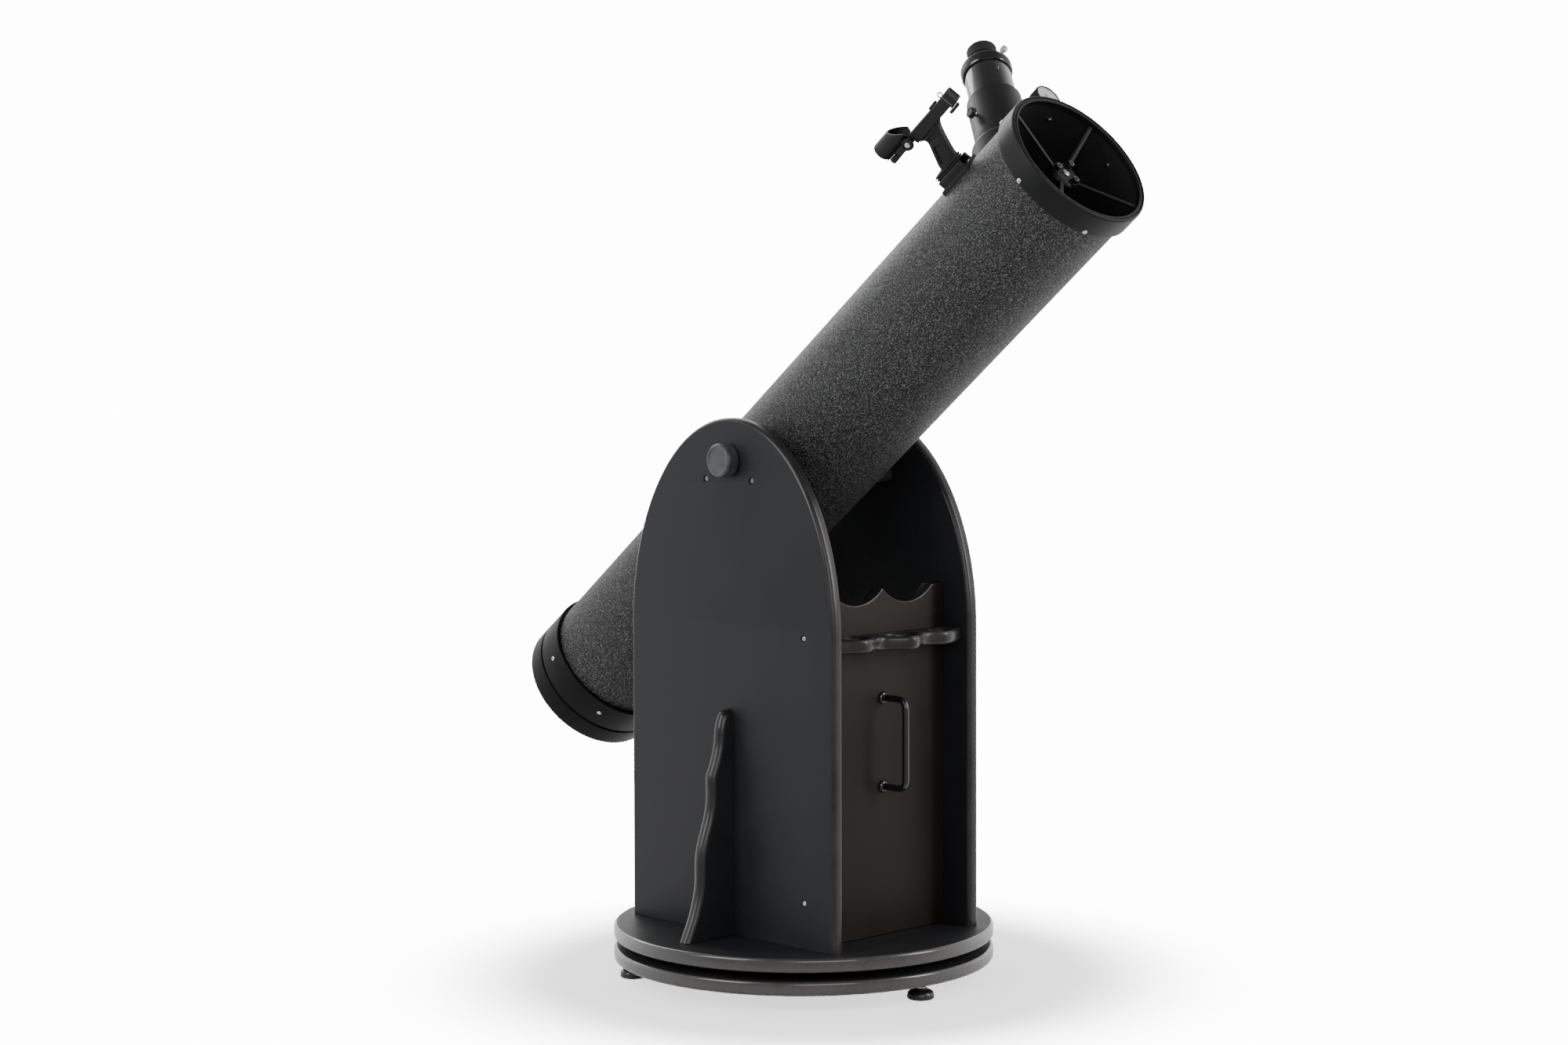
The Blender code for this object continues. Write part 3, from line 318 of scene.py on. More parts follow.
def lathe(profile, steps, ring=False):
    """A profile of (radius, height) points turned about Z; a ring's profile is closed."""
    bm = bmesh.new()
    verts = [bm.verts.new((point[0], 0, point[1])) for point in profile]
    pairs = list(zip(verts, verts[1:]))
    if ring:
        pairs.append((verts[-1], verts[0]))
    edges = [bm.edges.new(pair) for pair in pairs]
    bmesh.ops.spin(bm, geom=verts + edges, cent=(0, 0, 0), axis=(0, 0, 1), angle=math.tau,
                   steps=steps, use_merge=True)
    return finished(bm, "turned")


def turned_ring(points, rounding, steps, corner_steps=4):
    """A closed profile with rounded corners, turned about Z."""
    return lathe(fillet(points, rounding, closed=True, steps=corner_steps), steps, ring=True)


def bar(low, high, edge=0.0, segments=3):
    """A box between two corners with rounded edges."""
    low, high = Vector(low), Vector(high)
    bm = bmesh.new()
    bmesh.ops.create_cube(bm, size=1.0)
    bmesh.ops.scale(bm, vec=high - low, verts=bm.verts)
    bmesh.ops.translate(bm, vec=(high + low) / 2, verts=bm.verts)
    if edge:
        bmesh.ops.bevel(bm, geom=bm.edges[:], offset=edge, segments=segments, profile=0.5,
                        affect="EDGES")
    return finished(bm, "bar")


def rod(radius, low, high, steps=32, edge=0.0):
    corner = [edge, edge] if edge else [0, 0]
    profile = fillet([(0, high), (radius, high), (radius, low), (0, low)], [0, *corner, 0])
    return lathe(profile, steps)


def evaluated(item):
    bpy.context.view_layer.update()
    graph = bpy.context.evaluated_depsgraph_get()
    mesh = bpy.data.meshes.new_from_object(item.evaluated_get(graph))
    bpy.data.objects.remove(item, do_unlink=True)
    return mesh


def from_curve(curve):
    item = bpy.data.objects.new("curve", curve)
    bpy.context.scene.collection.objects.link(item)
    bm = bmesh.new()
    bm.from_mesh(evaluated(item))
    return finished(bm, "curve")


def plate(outline, thickness, edge, steps=5):
    """A flat plate in the XY plane, centred on z = 0, with rounded edges all round."""
    curve = bpy.data.curves.new("outline", "CURVE")
    curve.dimensions = "2D"
    curve.fill_mode = "BOTH"
    curve.extrude = thickness / 2 - edge
    curve.bevel_depth = edge
    curve.bevel_resolution = steps - 1
    curve.offset = -edge
    spline = curve.splines.new("POLY")
    spline.points.add(len(outline) - 1)
    for point, place in zip(spline.points, outline):
        point.co = (place[0], place[1], 0, 1)
    spline.use_cyclic_u = True
    return from_curve(curve)


def wire(points, radius, resolution=5):
    curve = bpy.data.curves.new("wire", "CURVE")
    curve.dimensions = "3D"
    curve.bevel_depth = radius
    curve.bevel_resolution = resolution
    curve.use_fill_caps = True
    spline = curve.splines.new("POLY")
    spline.points.add(len(points) - 1)
    for point, place in zip(spline.points, points):
        point.co = (*place, 1)
    return from_curve(curve)


def sliced(mesh, point, normal):
    """The mesh without the part on the side that the normal points to."""
    bm = bmesh.new()
    bm.from_mesh(mesh)
    geometry = bm.verts[:] + bm.edges[:] + bm.faces[:]
    cut = bmesh.ops.bisect_plane(bm, geom=geometry, dist=WELD, plane_co=point, plane_no=normal,
                                 clear_outer=True)
    rim = [part for part in cut["geom_cut"] if isinstance(part, bmesh.types.BMEdge)]
    bmesh.ops.contextual_create(bm, geom=rim)
    return finished(bm, "sliced")


def placed(mesh, x=0, y=0, z=0, turn=0, axis="Z", tilt=0):
    """The mesh tilted about X, turned about an axis, and then moved."""
    mesh.transform(rotation(tilt, "X"))
    mesh.transform(rotation(turn, axis))
    mesh.transform(Matrix.Translation((x, y, z)))
    return mesh


def together(*meshes):
    bm = bmesh.new()
    for mesh in meshes:
        bm.from_mesh(mesh)
    mesh = bpy.data.meshes.new("together")
    bm.to_mesh(mesh)
    bm.free()
    return mesh


def boolean(mesh, *tools, operation="DIFFERENCE"):
    """The mesh after each tool in turn has been cut from it."""
    for tool in tools:
        item = bpy.data.objects.new("cut", mesh)
        cutter = bpy.data.objects.new("cutter", tool)
        for thing in (item, cutter):
            bpy.context.scene.collection.objects.link(thing)
        modifier = item.modifiers.new("cut", "BOOLEAN")
        modifier.operation = operation
        modifier.object = cutter
        modifier.solver = "EXACT"
        mesh = evaluated(item)
        bpy.data.objects.remove(cutter, do_unlink=True)
    return mesh


def union(mesh, *tools):
    return boolean(mesh, *tools, operation="UNION")


def on_circle(radius, angle):
    return radius * math.cos(math.radians(angle)), radius * math.sin(math.radians(angle))


def arc(centre, radii, start, end, steps):
    angles = [math.radians(start + (end - start) * i / steps) for i in range(steps + 1)]
    return [(centre[0] + radii[0] * math.cos(a), centre[1] + radii[1] * math.sin(a)) for a in angles]


def through(points, steps):
    """Points on one smooth curve through a few chosen points (Catmull-Rom)."""
    chosen = [points[0], *points, points[-1]]
    result = []
    for i in range(1, len(chosen) - 2):
        a, b, c, d = (Vector(point) for point in chosen[i - 1:i + 3])
        for step in range(steps):
            t = step / steps
            curve = 2 * b + (c - a) * t + (2 * a - 5 * b + 4 * c - d) * t * t
            result.append((curve + (3 * b - a - 3 * c + d) * t**3) / 2)
    return result + [Vector(points[-1])]


# ---- pieces
def piece(name, mesh, materials, matrix, body, slot, *nodes, second=None):
    """A finished piece; second gives the number of the material that a face takes, from 0.

    matrix is its frame, body the body it moves with, and nodes the CAD nodes it stands in for.
    """
    mesh.transform(TO_METRES)
    materials = materials if isinstance(materials, tuple) else (materials,)
    mesh.materials.clear()
    for material in materials:
        mesh.materials.append(material)
    for polygon in mesh.polygons:
        polygon.material_index = int(second(polygon.center / MM, polygon.normal)) if second else 0
    mesh.shade_smooth()
    mesh.set_sharp_from_angle(angle=math.radians(SMOOTH_ANGLE))
    item = bpy.data.objects.new(name, mesh)
    bpy.context.scene.collection.objects.link(item)
    item.matrix_world = matrix
    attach(item, body)
    if nodes:
        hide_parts(*nodes)


def paint_node(node, material):
    item = frame["nodes"][node]
    item.data.materials.clear()
    item.data.materials.append(material)


def screw_head(radius, height):
    """A pan head that stands on z = 0, with a cross recess."""
    dome = [(radius * math.sin(a), height * (0.35 + 0.65 * math.cos(a))) for a in (0.35, 0.7, 1.05, 1.35)]
    head = lathe([(0, height), *dome, (radius, 0), (0, 0)], 28)
    slot, reach, depth = radius * 0.14, radius * 0.6, height * 0.45
    return boolean(head, union(bar((-reach, -slot, depth), (reach, slot, height * 2)),
                               bar((-slot, -reach, depth), (slot, reach, height * 2))))


def knurled(radius, low, high, teeth, depth, dish=0.0, rim=0.18):
    """A knob with fine teeth round its rim, between two heights on Z."""
    bm = bmesh.new()
    bevel = min(1.2, (high - low) / 4)
    levels = [(low, -bevel), (low + bevel, 0), (high - bevel, 0), (high, -bevel)]
    rows = []
    for height, inset in levels:
        row = []
        for i in range(teeth * 4):
            angle = math.tau * i / (teeth * 4)
            reach = radius + inset - (depth if i % 4 in (2, 3) else 0)
            row.append(bm.verts.new((reach * math.cos(angle), reach * math.sin(angle), height)))
        rows.append(row)
    for lower, upper in zip(rows, rows[1:]):
        for i in range(len(lower)):
            j = (i + 1) % len(lower)
            bm.faces.new((lower[i], lower[j], upper[j], upper[i]))
    bm.faces.new(list(reversed(rows[0])))
    top = bm.faces.new(rows[-1])
    bmesh.ops.inset_individual(bm, faces=[top], thickness=radius * rim, depth=0.0)
    if dish:
        bmesh.ops.translate(bm, vec=(0, 0, -dish), verts=top.verts)
    return finished(bm, "knurled")


# ---- base
BOARD_EDGE_RADIUS = 5.0
PIVOT_HOLE = 5.3
RIM_SLOPE = 0.97
FACE_SLOPE = 0.985


def on_rim(centre, normal):
    """The faces round a flat board, and most of its rounded edge."""
    return abs(normal.z) < RIM_SLOPE


def edge_band(centre, normal):
    return abs(normal.z) < FACE_SLOPE


def build_boards():
    for node, body in (("ground_board", "ground"), ("turntable_board", "rocker")):
        low, high = span(node, BASE)
        profile = fillet(
            [(PIVOT_HOLE, high.z), (high.x, high.z), (high.x, low.z), (PIVOT_HOLE, low.z)],
            [0, BOARD_EDGE_RADIUS, BOARD_EDGE_RADIUS, 0], steps=6)
        # The rims take the lighter base rim tone: partly real edge colour, partly painted highlight.
        piece(f"{node}_panel", lathe(profile, 192, ring=True), (LAMINATE, BASE_RIM_AND_SHEEN), BASE, body,
              "laminate", node, second=on_rim)


def build_feet():
    """Rubber feet, each with a threaded stud and a nut between pad and ground board."""
    pad_top, thread, thread_pitch = 13.4, 4.7, 0.45
    pad = [(0, pad_top), (8.6, pad_top)] + fillet(
        [(8.6, pad_top), (9.5, 11.6), (14.2, 10.6), (17, 6.8), (17, 1.6), (15.2, 0)],
        [0, 1, 2.5, 2, 0.5, 0]) + [(0, 0)]
    hexagon = [(0, 15.6), (6.6, 15.6), (7.3, 15.0), (7.3, 13.9), (6.6, 13.5), (0, 13.5)]
    for number in (1, 2, 3):
        node = f"foot_{number}"
        top = span(node, BASE)[1].z
        centre = middle(node, BASE)
        place = moved(BASE, centre.x, centre.y, 0)
        piece(f"{node}_pad", lathe(pad, 56), FOOT_BLACK, place, "ground", "foot_rubber", node)
        turns = [(thread if i % 2 else thread - 0.5, top - thread_pitch * (i + 1)) for i in range(11)]
        stud = lathe([(0, top), (thread, top), *turns, (4.2, 13.45), (0, 13.45)], 28)
        piece(f"{node}_stud", stud, ZINC, place, "ground", "zinc_steel")
        piece(f"{node}_nut", lathe(hexagon, 6), ZINC, place, "ground", "zinc_steel")


# ---- rocker box
PANEL_STRAIGHT = 455
PANEL_SCREW_LEVELS = (123, 453)
BELOW_FLOOR = 12


def side_panel(label, side):
    """A panel with an elliptical top, its screw holes, and the heads sunk in its outer face."""
    node = f"side_panel_{label}"
    low, high = span(node, FACING_SIDE)
    half, floor, thickness = high.x, low.y, high.z - low.z
    outline = [(-half, floor - BELOW_FLOOR), (half, floor - BELOW_FLOOR)]
    outline += arc((0, PANEL_STRAIGHT), (half, high.y - PANEL_STRAIGHT), 0, 180, 90)
    mesh = sliced(plate(outline, thickness, 6.0, 6), (0, floor, 0), (0, -1, 0))
    face = side * thickness / 2
    board = middle("front_board", FACING_SIDE)
    pads = [middle(f"bearing_pad_{label}_{end}", FACING_SIDE) for end in ("front", "rear")]
    pad_spots = [(pad.x, pad.y) for pad in pads]
    screw_spots = [(board.x, level) for level in PANEL_SCREW_LEVELS]
    holes = [placed(rod(PIVOT_HOLE, -thickness, thickness), 0, PIVOT.z / MM)]
    for spots, radius, depth in ((pad_spots, 4.6, 3), (screw_spots, 4.2, 2.2)):
        bottom, top = sorted((face - side * depth, face + side * 3))
        holes += [placed(rod(radius, bottom, top), *spot) for spot in spots]
    place = moved(FACING_SIDE, 0, 0, (low.z + high.z) / 2)
    piece(f"{node}_board", boolean(mesh, together(*holes)), (LAMINATE, BOARD_EDGE), place, "rocker",
          "laminate", node, second=panel_edge)
    plug = lathe([(0, 1.4), (2.9, 1.4), (3.9, 0.6), (4.2, 0), (0, 0)], 28)
    piece(f"pad_screw_caps_{label}", sunk_row(plug, pad_spots, side, face, 2.9), PLUG_GREY, place,
          "rocker", "bare_aluminium")
    head = boolean(lathe([(0, 1.2), (2.6, 1.2), (3.9, 0.3), (3.9, 0), (0, 0)], 28), rod(1.5, 0.4, 3, 6))
    piece(f"board_screws_{label}", sunk_row(head, screw_spots, side, face, 2.15), ZINC, place,
          "rocker", "zinc_steel")


def sunk_row(head, spots, side, face, depth):
    """Copies of a head at some spots, set into a panel's outer face."""
    row = together(*[placed(head.copy(), *spot) for spot in spots])
    if side < 0:
        row.transform(Matrix.Scale(-1, 4, (0, 0, 1)))
        row.flip_normals()
    return placed(row, z=face - side * depth)


def panel_edge(centre, normal):
    """The painted edge band of an upright plate, but not the sides of its screw holes."""
    near_pads = abs(centre.x) < 60 and 620 < centre.y < 690
    near_screws = (-150 < centre.x < -118
                   and min(abs(centre.y - level) for level in PANEL_SCREW_LEVELS) < 8)
    return edge_band(centre, normal) and not near_pads and not near_screws


def build_front_board():
    """The board between the panels, with two scoops cut in its top edge."""
    low, high = span("front_board", FACING_FRONT)
    scoop_centre, half_width, depth = 46, 45, 19
    radius = (half_width**2 + depth**2) / (2 * depth)
    half_angle = math.degrees(math.asin(half_width / radius))
    level = high.y + radius - depth
    points = [(low.x, low.y), (high.x, low.y), (high.x, high.y)]
    for centre in (scoop_centre, -scoop_centre):
        points += arc((centre, level), (radius, radius), 270 + half_angle, 270 - half_angle, 24)
    points.append((low.x, high.y))
    place = moved(FACING_FRONT, 0, 0, (low.z + high.z) / 2)
    piece("front_board_panel", plate(points, high.z - low.z, 2.0, 4), (FRONT_LAMINATE, BOARD_EDGE),
          place, "rocker", "laminate", "front_board", second=edge_band)


RIB_HEIGHT = 288
RIB_WAVE = ((88, -12), (76, 12), (65, 37), (57, 68), (56, 100), (52, 122), (41, 154), (37, 177),
            (37, 204), (30, 222), (24, 243), (21, 267), (14, 284), (0, RIB_HEIGHT))


def build_ribs():
    for side, label in ((-1, "left"), (1, "right")):
        node = f"stiffening_rib_{label}"
        low, high = span(node, FACING_FRONT)
        root = high.x if side < 0 else low.x
        outline = [(-BELOW_FLOOR, -BELOW_FLOOR), *through(RIB_WAVE, 7), (-BELOW_FLOOR, RIB_HEIGHT)]
        mesh = plate([(side * x, y) for x, y in outline], high.z - low.z, 8.5, 6)
        mesh = sliced(sliced(mesh, (0, 0, 0), (-side, 0, 0)), (0, 0, 0), (0, -1, 0))
        piece(f"{node}_board", mesh, (LAMINATE, BOARD_EDGE), moved(FACING_FRONT, root, low.y, 0),
              "rocker", "laminate", node,
              second=lambda centre, normal: on_rim(centre, normal) and centre.y > 0.5)


RACK_HOLES = ((-74, -24.7, 16), (0, -29.7, 22), (74, -24.7, 16))


def build_rack():
    """The eyepiece shelf: three bulges along its front and a flared hole in each."""
    low, high = span("eyepiece_rack", BASE)
    half, thickness = high.x, high.z - low.z
    wave = [(-half, -30), (-75, -46), (-38, -37), (0, -58), (38, -37), (75, -46), (half, -30)]
    mesh = plate([(half, 0), (-half, 0), *through(wave, 10)], thickness, 5.5, 6)
    for x, y, radius in RACK_HOLES:
        wide = radius + 4.5
        flare = fillet(
            [(wide, thickness), (wide, thickness / 2 - 0.01), (radius, thickness / 2 - 3),
             (radius, 3 - thickness / 2), (wide, 0.01 - thickness / 2), (wide, -thickness)],
            [0, 0, 3, 3, 0, 0])
        mesh = boolean(mesh, placed(lathe([(0, thickness), *flare, (0, -thickness)], 64), x, y))
    piece("eyepiece_rack_board", mesh, (LAMINATE, BOARD_EDGE),
          moved(BASE, 0, high.y, (low.z + high.z) / 2), "rocker", "laminate", "eyepiece_rack",
          second=edge_band)


def build_handle():
    """A round bow bar on the front board, with a collar at each foot."""
    low, high = span("carry_handle", BASE)
    radius, flange, bend = 4.5, 8.0, 13.0
    face = high.y
    top, bottom, front = high.z - flange, low.z + flange, low.y + radius
    path = fillet([(0, face, top), (0, front, top), (0, front, bottom), (0, face, bottom)],
                  [0, bend, bend, 0], steps=10)
    collar = fillet([(0, 4.2), (5.6, 4.2), (flange, 2.4), (flange, 0), (0, 0)], [0, 1.0, 0.8, 0.3, 0])
    collars = [placed(lathe(collar, 40), 0, face, level, tilt=90) for level in (top, bottom)]
    piece("carry_handle_bar", together(wire(path, radius, 6), *collars), HANDLE_BLACK, BASE, "rocker",
          "handle_black", "carry_handle")


def build_tension_knobs():
    head_length = 19
    for side, label in ((-1, "left"), (1, "right")):
        node = f"tension_knob_{label}"
        matrix = axes(PIVOT, Vector((0, 1, 0)), Vector((0, 0, side)), Vector((side, 0, 0)))
        low, high = span(node, matrix)
        tip, inner, radius = high.z, low.z, high.x
        head = tip - head_length
        shape = fillet(
            [(0, tip - 1.3), (radius - 5.5, tip - 1.3), (radius - 4.5, tip - 0.1), (radius - 2.4, tip),
             (radius, tip - 2.6), (radius, head + 2.5), (radius - 1.5, head), (12, head)],
            [0, 1.2, 0.8, 1.4, 1.6, 1.0, 0.6, 0], steps=5)
        shape += [(12, head), (4, head + 0.01), (4, inner), (0, inner)]
        piece(f"{node}_cap", lathe(shape, 96), KNOB_GREY, matrix, node, "knob_grey", node)


# ---- tube
SCREWS_ROUND = 6
FRONT_SCREW_ANGLE = 20
REAR_SCREW_ANGLE = 40
CELL_ARM_ANGLES = (90, 210, 330)
CELL_SCREW_CIRCLE = 58


def inward_face(radius):
    """A test for the faces that lie closer to the axis than a radius."""
    return lambda centre, normal: off_axis(centre) < radius


def build_main_tube():
    inner = TUBE_RADIUS - TUBE_WALL
    mesh = lathe([(TUBE_RADIUS, TUBE_HIGH.z), (TUBE_RADIUS, TUBE_LOW.z), (inner, TUBE_LOW.z),
                  (inner, TUBE_HIGH.z)], 160, ring=True)
    hole = rod(32, 60, 130, 64)
    hole.transform(TO_METRES.inverted() @ TUBE.inverted() @ FOCUSER @ TO_METRES)
    piece("main_tube_shell", boolean(mesh, hole), (TUBE_COAT, INNER_BLACK), TUBE, "tube", "tube_coat",
          "main_tube", second=inward_face(TUBE_RADIUS - TUBE_WALL / 2))


def ring_screws(name, station, first_angle):
    """Screw heads round an end ring, and their nuts on the inside of the tube."""
    nut = lathe([(0, 3.2), (1.7, 3.2), (1.7, 1.6), (3.0, 1.6), (3.3, 0.9), (3.3, 0), (0, 0)], 6)
    for label, shape, material, radius, tilt in (
            ("screws", screw_head(3.1, 1.7), SCREW_STEEL, RING_RADIUS, -90),
            ("nuts", nut, ZINC, TUBE_RADIUS - TUBE_WALL, 90)):
        row = [placed(shape.copy(), y=radius, z=station, tilt=tilt) for _ in range(SCREWS_ROUND)]
        for number, item in enumerate(row):
            placed(item, turn=-first_angle - number * 360 / SCREWS_ROUND)
        piece(f"{name}_{label}", together(*row), material, TUBE, "tube", "zinc_steel")


def build_front_ring():
    rim, rear, outer = RIM_HIGH.z, RIM_LOW.z, RING_RADIUS
    front_stop = TUBE_HIGH.z + 1
    band = turned_ring(
        [(outer, rear + 1), (outer, rim - 2.4), (outer - 1.6, rim), (outer - 3.2, rim),
         (outer - 3.6, rim - 1.6), (outer - 4.8, rim - 1.6), (outer - 5.3, rim - 0.5),
         (outer - 7.4, rim - 0.6), (outer - 8.3, rim - 1.8), (outer - 8.3, front_stop),
         (TUBE_FIT, front_stop), (TUBE_FIT, rear), (outer - 1, rear)],
        [0.4, 1.2, 1.0, 0.5, 0.3, 0.3, 0.4, 0.6, 0.8, 0, 0, 0, 0.4], 160)
    piece("front_ring_band", band, RING_BLACK, TUBE, "tube", "ring_black", "front_ring")
    ring_screws("front_ring", rear + 3.8, FRONT_SCREW_ANGLE)


def build_mirror_cell():
    """The rear end ring with its groove, and a three-armed plate across it for the knobs."""
    outer = RING_RADIUS
    rim = -CELL_BEHIND_GROOVE
    tube_end = TUBE_LOW.z - GROOVE - 1
    front = CELL_HIGH.z - GROOVE
    ring = turned_ring(
        [(outer - 0.8, front), (outer, front - 1.2), (outer, 1.8), (outer - 1.8, 1.0),
         (outer - 1.8, -1.0), (outer + 0.3, -1.8), (outer + 0.3, rim + 4), (outer - 3.2, rim),
         (86, rim), (86, tube_end), (TUBE_FIT, tube_end), (TUBE_FIT, front)],
        [0.3, 0.5, 0.5, 0.3, 0.3, 0.5, 3.0, 3.0, 0.6, 0, 0, 0], 160, corner_steps=5)
    low, high = -22, -16
    arms = [placed(bar((10, -11, low), (87, 11, high), 1.2), turn=angle) for angle in CELL_ARM_ANGLES]
    holes = [placed(rod(3.3, low - 5, high + 5), *on_circle(CELL_SCREW_CIRCLE, angle))
             for angle in CELL_ARM_ANGLES]
    cross = boolean(union(rod(24, low, high, 64, 1.2), *arms), together(*holes))
    # The cell ring takes the darker ring black, painted shade.
    piece("mirror_cell_ring", union(ring, cross), SHADED_RING_BLACK, CELL, "tube", "ring_black",
          "mirror_cell")
    ring_screws("mirror_cell", CELL_HIGH.z - 18.5, REAR_SCREW_ANGLE)


def build_collimation_knobs():
    cap_top = -22.4
    for number in range(3):
        node = f"collimation_knob_{number + 1}"
        low, high = span(node, CELL)
        centre = middle(node, CELL)
        cap = knurled(9, low.z, cap_top, 30, 0.7, dish=0.6)
        stem = rod(2.8, cap_top - 0.2, high.z, 24, 0.4)
        piece(f"{node}_knurled", together(cap, stem), ZINC, moved(CELL, centre.x, centre.y, 0), node,
              "zinc_steel", node)


def build_spider():
    """The hub in the tube's mouth, its four vanes, and its three adjusting screws."""
    low, high = span("secondary_spider", TUBE)
    front, rear, radius = high.z - 22, low.z, 20
    reach = TUBE_RADIUS - 3.6
    outline = [(0, front), (radius - 3.5, front), (radius, front - 3.5), (radius, rear), (0, rear)]
    hub = lathe(fillet(outline, [0, 1.2, 1.5, 1.0, 0]), 64)
    for number in range(4):
        vane = plate([(12, front - 6), (reach, high.z - 3), (reach, high.z), (12, front - 3)],
                     5.5, 0.5, 2)
        hub = union(hub, placed(vane, tilt=90, turn=130 + 90 * number))
    screws = []
    for angle in (40, 160, 280):
        spot = on_circle(15, angle)
        hub = union(hub, placed(rod(5.4, front - 11.5, front + 1.2, 32, 0.8), *spot))
        screw = boolean(rod(4.4, front + 1.3, front + 7.5, 32, 0.8), rod(2.0, front + 4.5, front + 12.5, 6))
        screws.append(placed(screw, *spot))
    piece("secondary_spider_hub", hub, RING_BLACK, TUBE, "tube", "ring_black", "secondary_spider")
    piece("secondary_adjusting_screws", together(*screws), HANDLE_BLACK, TUBE, "tube", "ring_black")
    piece("secondary_centre_screw", placed(screw_head(5.2, 2.6), z=front), ZINC, TUBE, "tube",
          "zinc_steel")


# ---- focuser
FOCUSER_BORE = 30.5
BODY_LOW, BODY_HIGH = span("focuser_body", FOCUSER)
BODY_RADIUS = BODY_HIGH.y
PINION = middle("pinion_shaft", FOCUSER)
LOCK = middle("focus_lock_screw", FOCUSER)


def build_focuser_base():
    radius, bore, top = 43, FOCUSER_BORE + 1, BODY_LOW.z - 0.3
    base = turned_ring([(radius - 4, top), (radius, BODY_LOW.z - 5), (radius, 60), (bore, 60), (bore, top)],
                       [1.0, 3.0, 0, 0, 0], 96)
    base = boolean(base, placed(rod(TUBE_FIT, -90, 90, 160), tilt=90))
    piece("focuser_base_saddle", base, FOCUSER_BLACK, FOCUSER, "tube", "focuser_black", "focuser_base")


def build_focuser_body():
    top, bottom, radius = BODY_HIGH.z, BODY_LOW.z, BODY_RADIUS
    body = turned_ring(
        [(radius - 2.2, top), (radius, top - 1.0), (radius, bottom + 15), (radius + 0.9, bottom + 14),
         (radius + 0.9, bottom + 0.6), (radius + 0.3, bottom), (FOCUSER_BORE, bottom),
         (FOCUSER_BORE, top)], [0.8, 0.6, 0.4, 0.4, 0.4, 0, 0, 0.6], 128)
    body = boolean(body, bar((25, -8, PINION.z - 8), (45, 8, PINION.z + 8)),
                   placed(rod(2.6, -55, -26, 24), z=LOCK.z, turn=90, axis="Y"))
    piece("focuser_body_barrel", body, FOCUSER_BLACK, FOCUSER, "tube", "focuser_black", "focuser_body")


def build_pinion_bracket():
    low, high = span("pinion_bracket", FOCUSER)
    bores = [placed(bore, PINION.x, 0, PINION.z, tilt=90)
             for bore in (rod(3.3, -40, 40, 24), rod(6.4, -7.5, 7.5, 32))]
    bracket = boolean(bar((20, low.y, low.z), high, 2.5, 4), rod(BODY_RADIUS + 1.2, 140, 230, 96), *bores)
    piece("pinion_bracket_block", bracket, FOCUSER_BLACK, FOCUSER, "tube", "focuser_black",
          "pinion_bracket")
    bolts = [placed(screw_head(2.6, 1.4), high.x, y, PINION.z + z, turn=90, axis="Y")
             for y in (-16, 16) for z in (-9, 9)]
    piece("pinion_bracket_screws", together(*bolts), ZINC, FOCUSER, "tube", "zinc_steel")


def build_drawtube():
    low, high = span("drawtube", FOCUSER)
    inner = 28
    barrel = turned_ring([(high.x, high.z), (high.x, low.z), (inner, low.z), (inner, high.z)],
                         [0.4, 0.4, 0.3, 0.3], 128, corner_steps=3)
    piece("drawtube_barrel", barrel, (GLOSS_BLACK, INNER_BLACK), FOCUSER, "drawtube", "gloss_black",
          "drawtube", second=inward_face(inner + 0.6))


def build_focus_lock():
    neck = 40
    tip = -span("focus_lock_screw", FOCUSER)[0].x
    cap = knurled(7, neck, tip, 18, 0.6, dish=0.5)
    stem = lathe([(0, neck + 0.1), (4.2, neck + 0.1), (4.2, 38.6), (2.2, 38.2), (2.2, 31), (0, 31)], 24)
    place = moved(FOCUSER, 0, 0, LOCK.z) @ rotation(-90, "Y")
    piece("focus_lock_screw_knob", together(cap, stem), (FOCUSER_BLACK, CHROME), place,
          "focus_lock_screw", "focuser_black", "focus_lock_screw",
          second=lambda centre, normal: centre.z < neck and off_axis(centre) < 4.5)


def build_focus_knobs():
    """Two knurled wheels on the pinion shaft, each with a silver face and a bright centre."""
    for side, label in ((1, "rear"), (-1, "front")):
        node = f"focus_knob_{label}"
        low, high = span(node, FOCUSER)
        near, far = sorted((abs(low.y), abs(high.y)))
        place = moved(FOCUSER, PINION.x, 0, PINION.z) @ rotation(-90 * side, "X")
        knob = knurled(high.x - PINION.x, near, far, 40, 0.7, dish=1.2, rim=0.1)
        piece(f"{node}_wheel", knob, (FOCUSER_BLACK, SILVER_FACE), place, "focus_shaft", "knob_grey",
              node, second=lambda centre, normal, far=far: centre.z > far - 1.3 and off_axis(centre) < 10)
        hub = lathe(fillet([(0, far - 0.3), (4.6, far - 0.3), (5.2, far - 0.9), (5.2, far - 1.6),
                            (0, far - 1.6)], [0, 0.4, 0.2, 0, 0]), 40)
        piece(f"{node}_centre", hub, CHROME, place, "focus_shaft", "thumbscrew_chrome")


COLLAR_LOW, COLLAR_HIGH = span("eyepiece_collar", FOCUSER)
THUMBSCREW = middle("eyepiece_thumbscrew", FOCUSER)
TOWARDS_SCREW = FOCUSER.to_3x3().inverted() @ joint_axis("eyepiece_thumbscrew_turn")
THUMBSCREW_ANGLE = math.degrees(math.atan2(TOWARDS_SCREW.y, TOWARDS_SCREW.x))


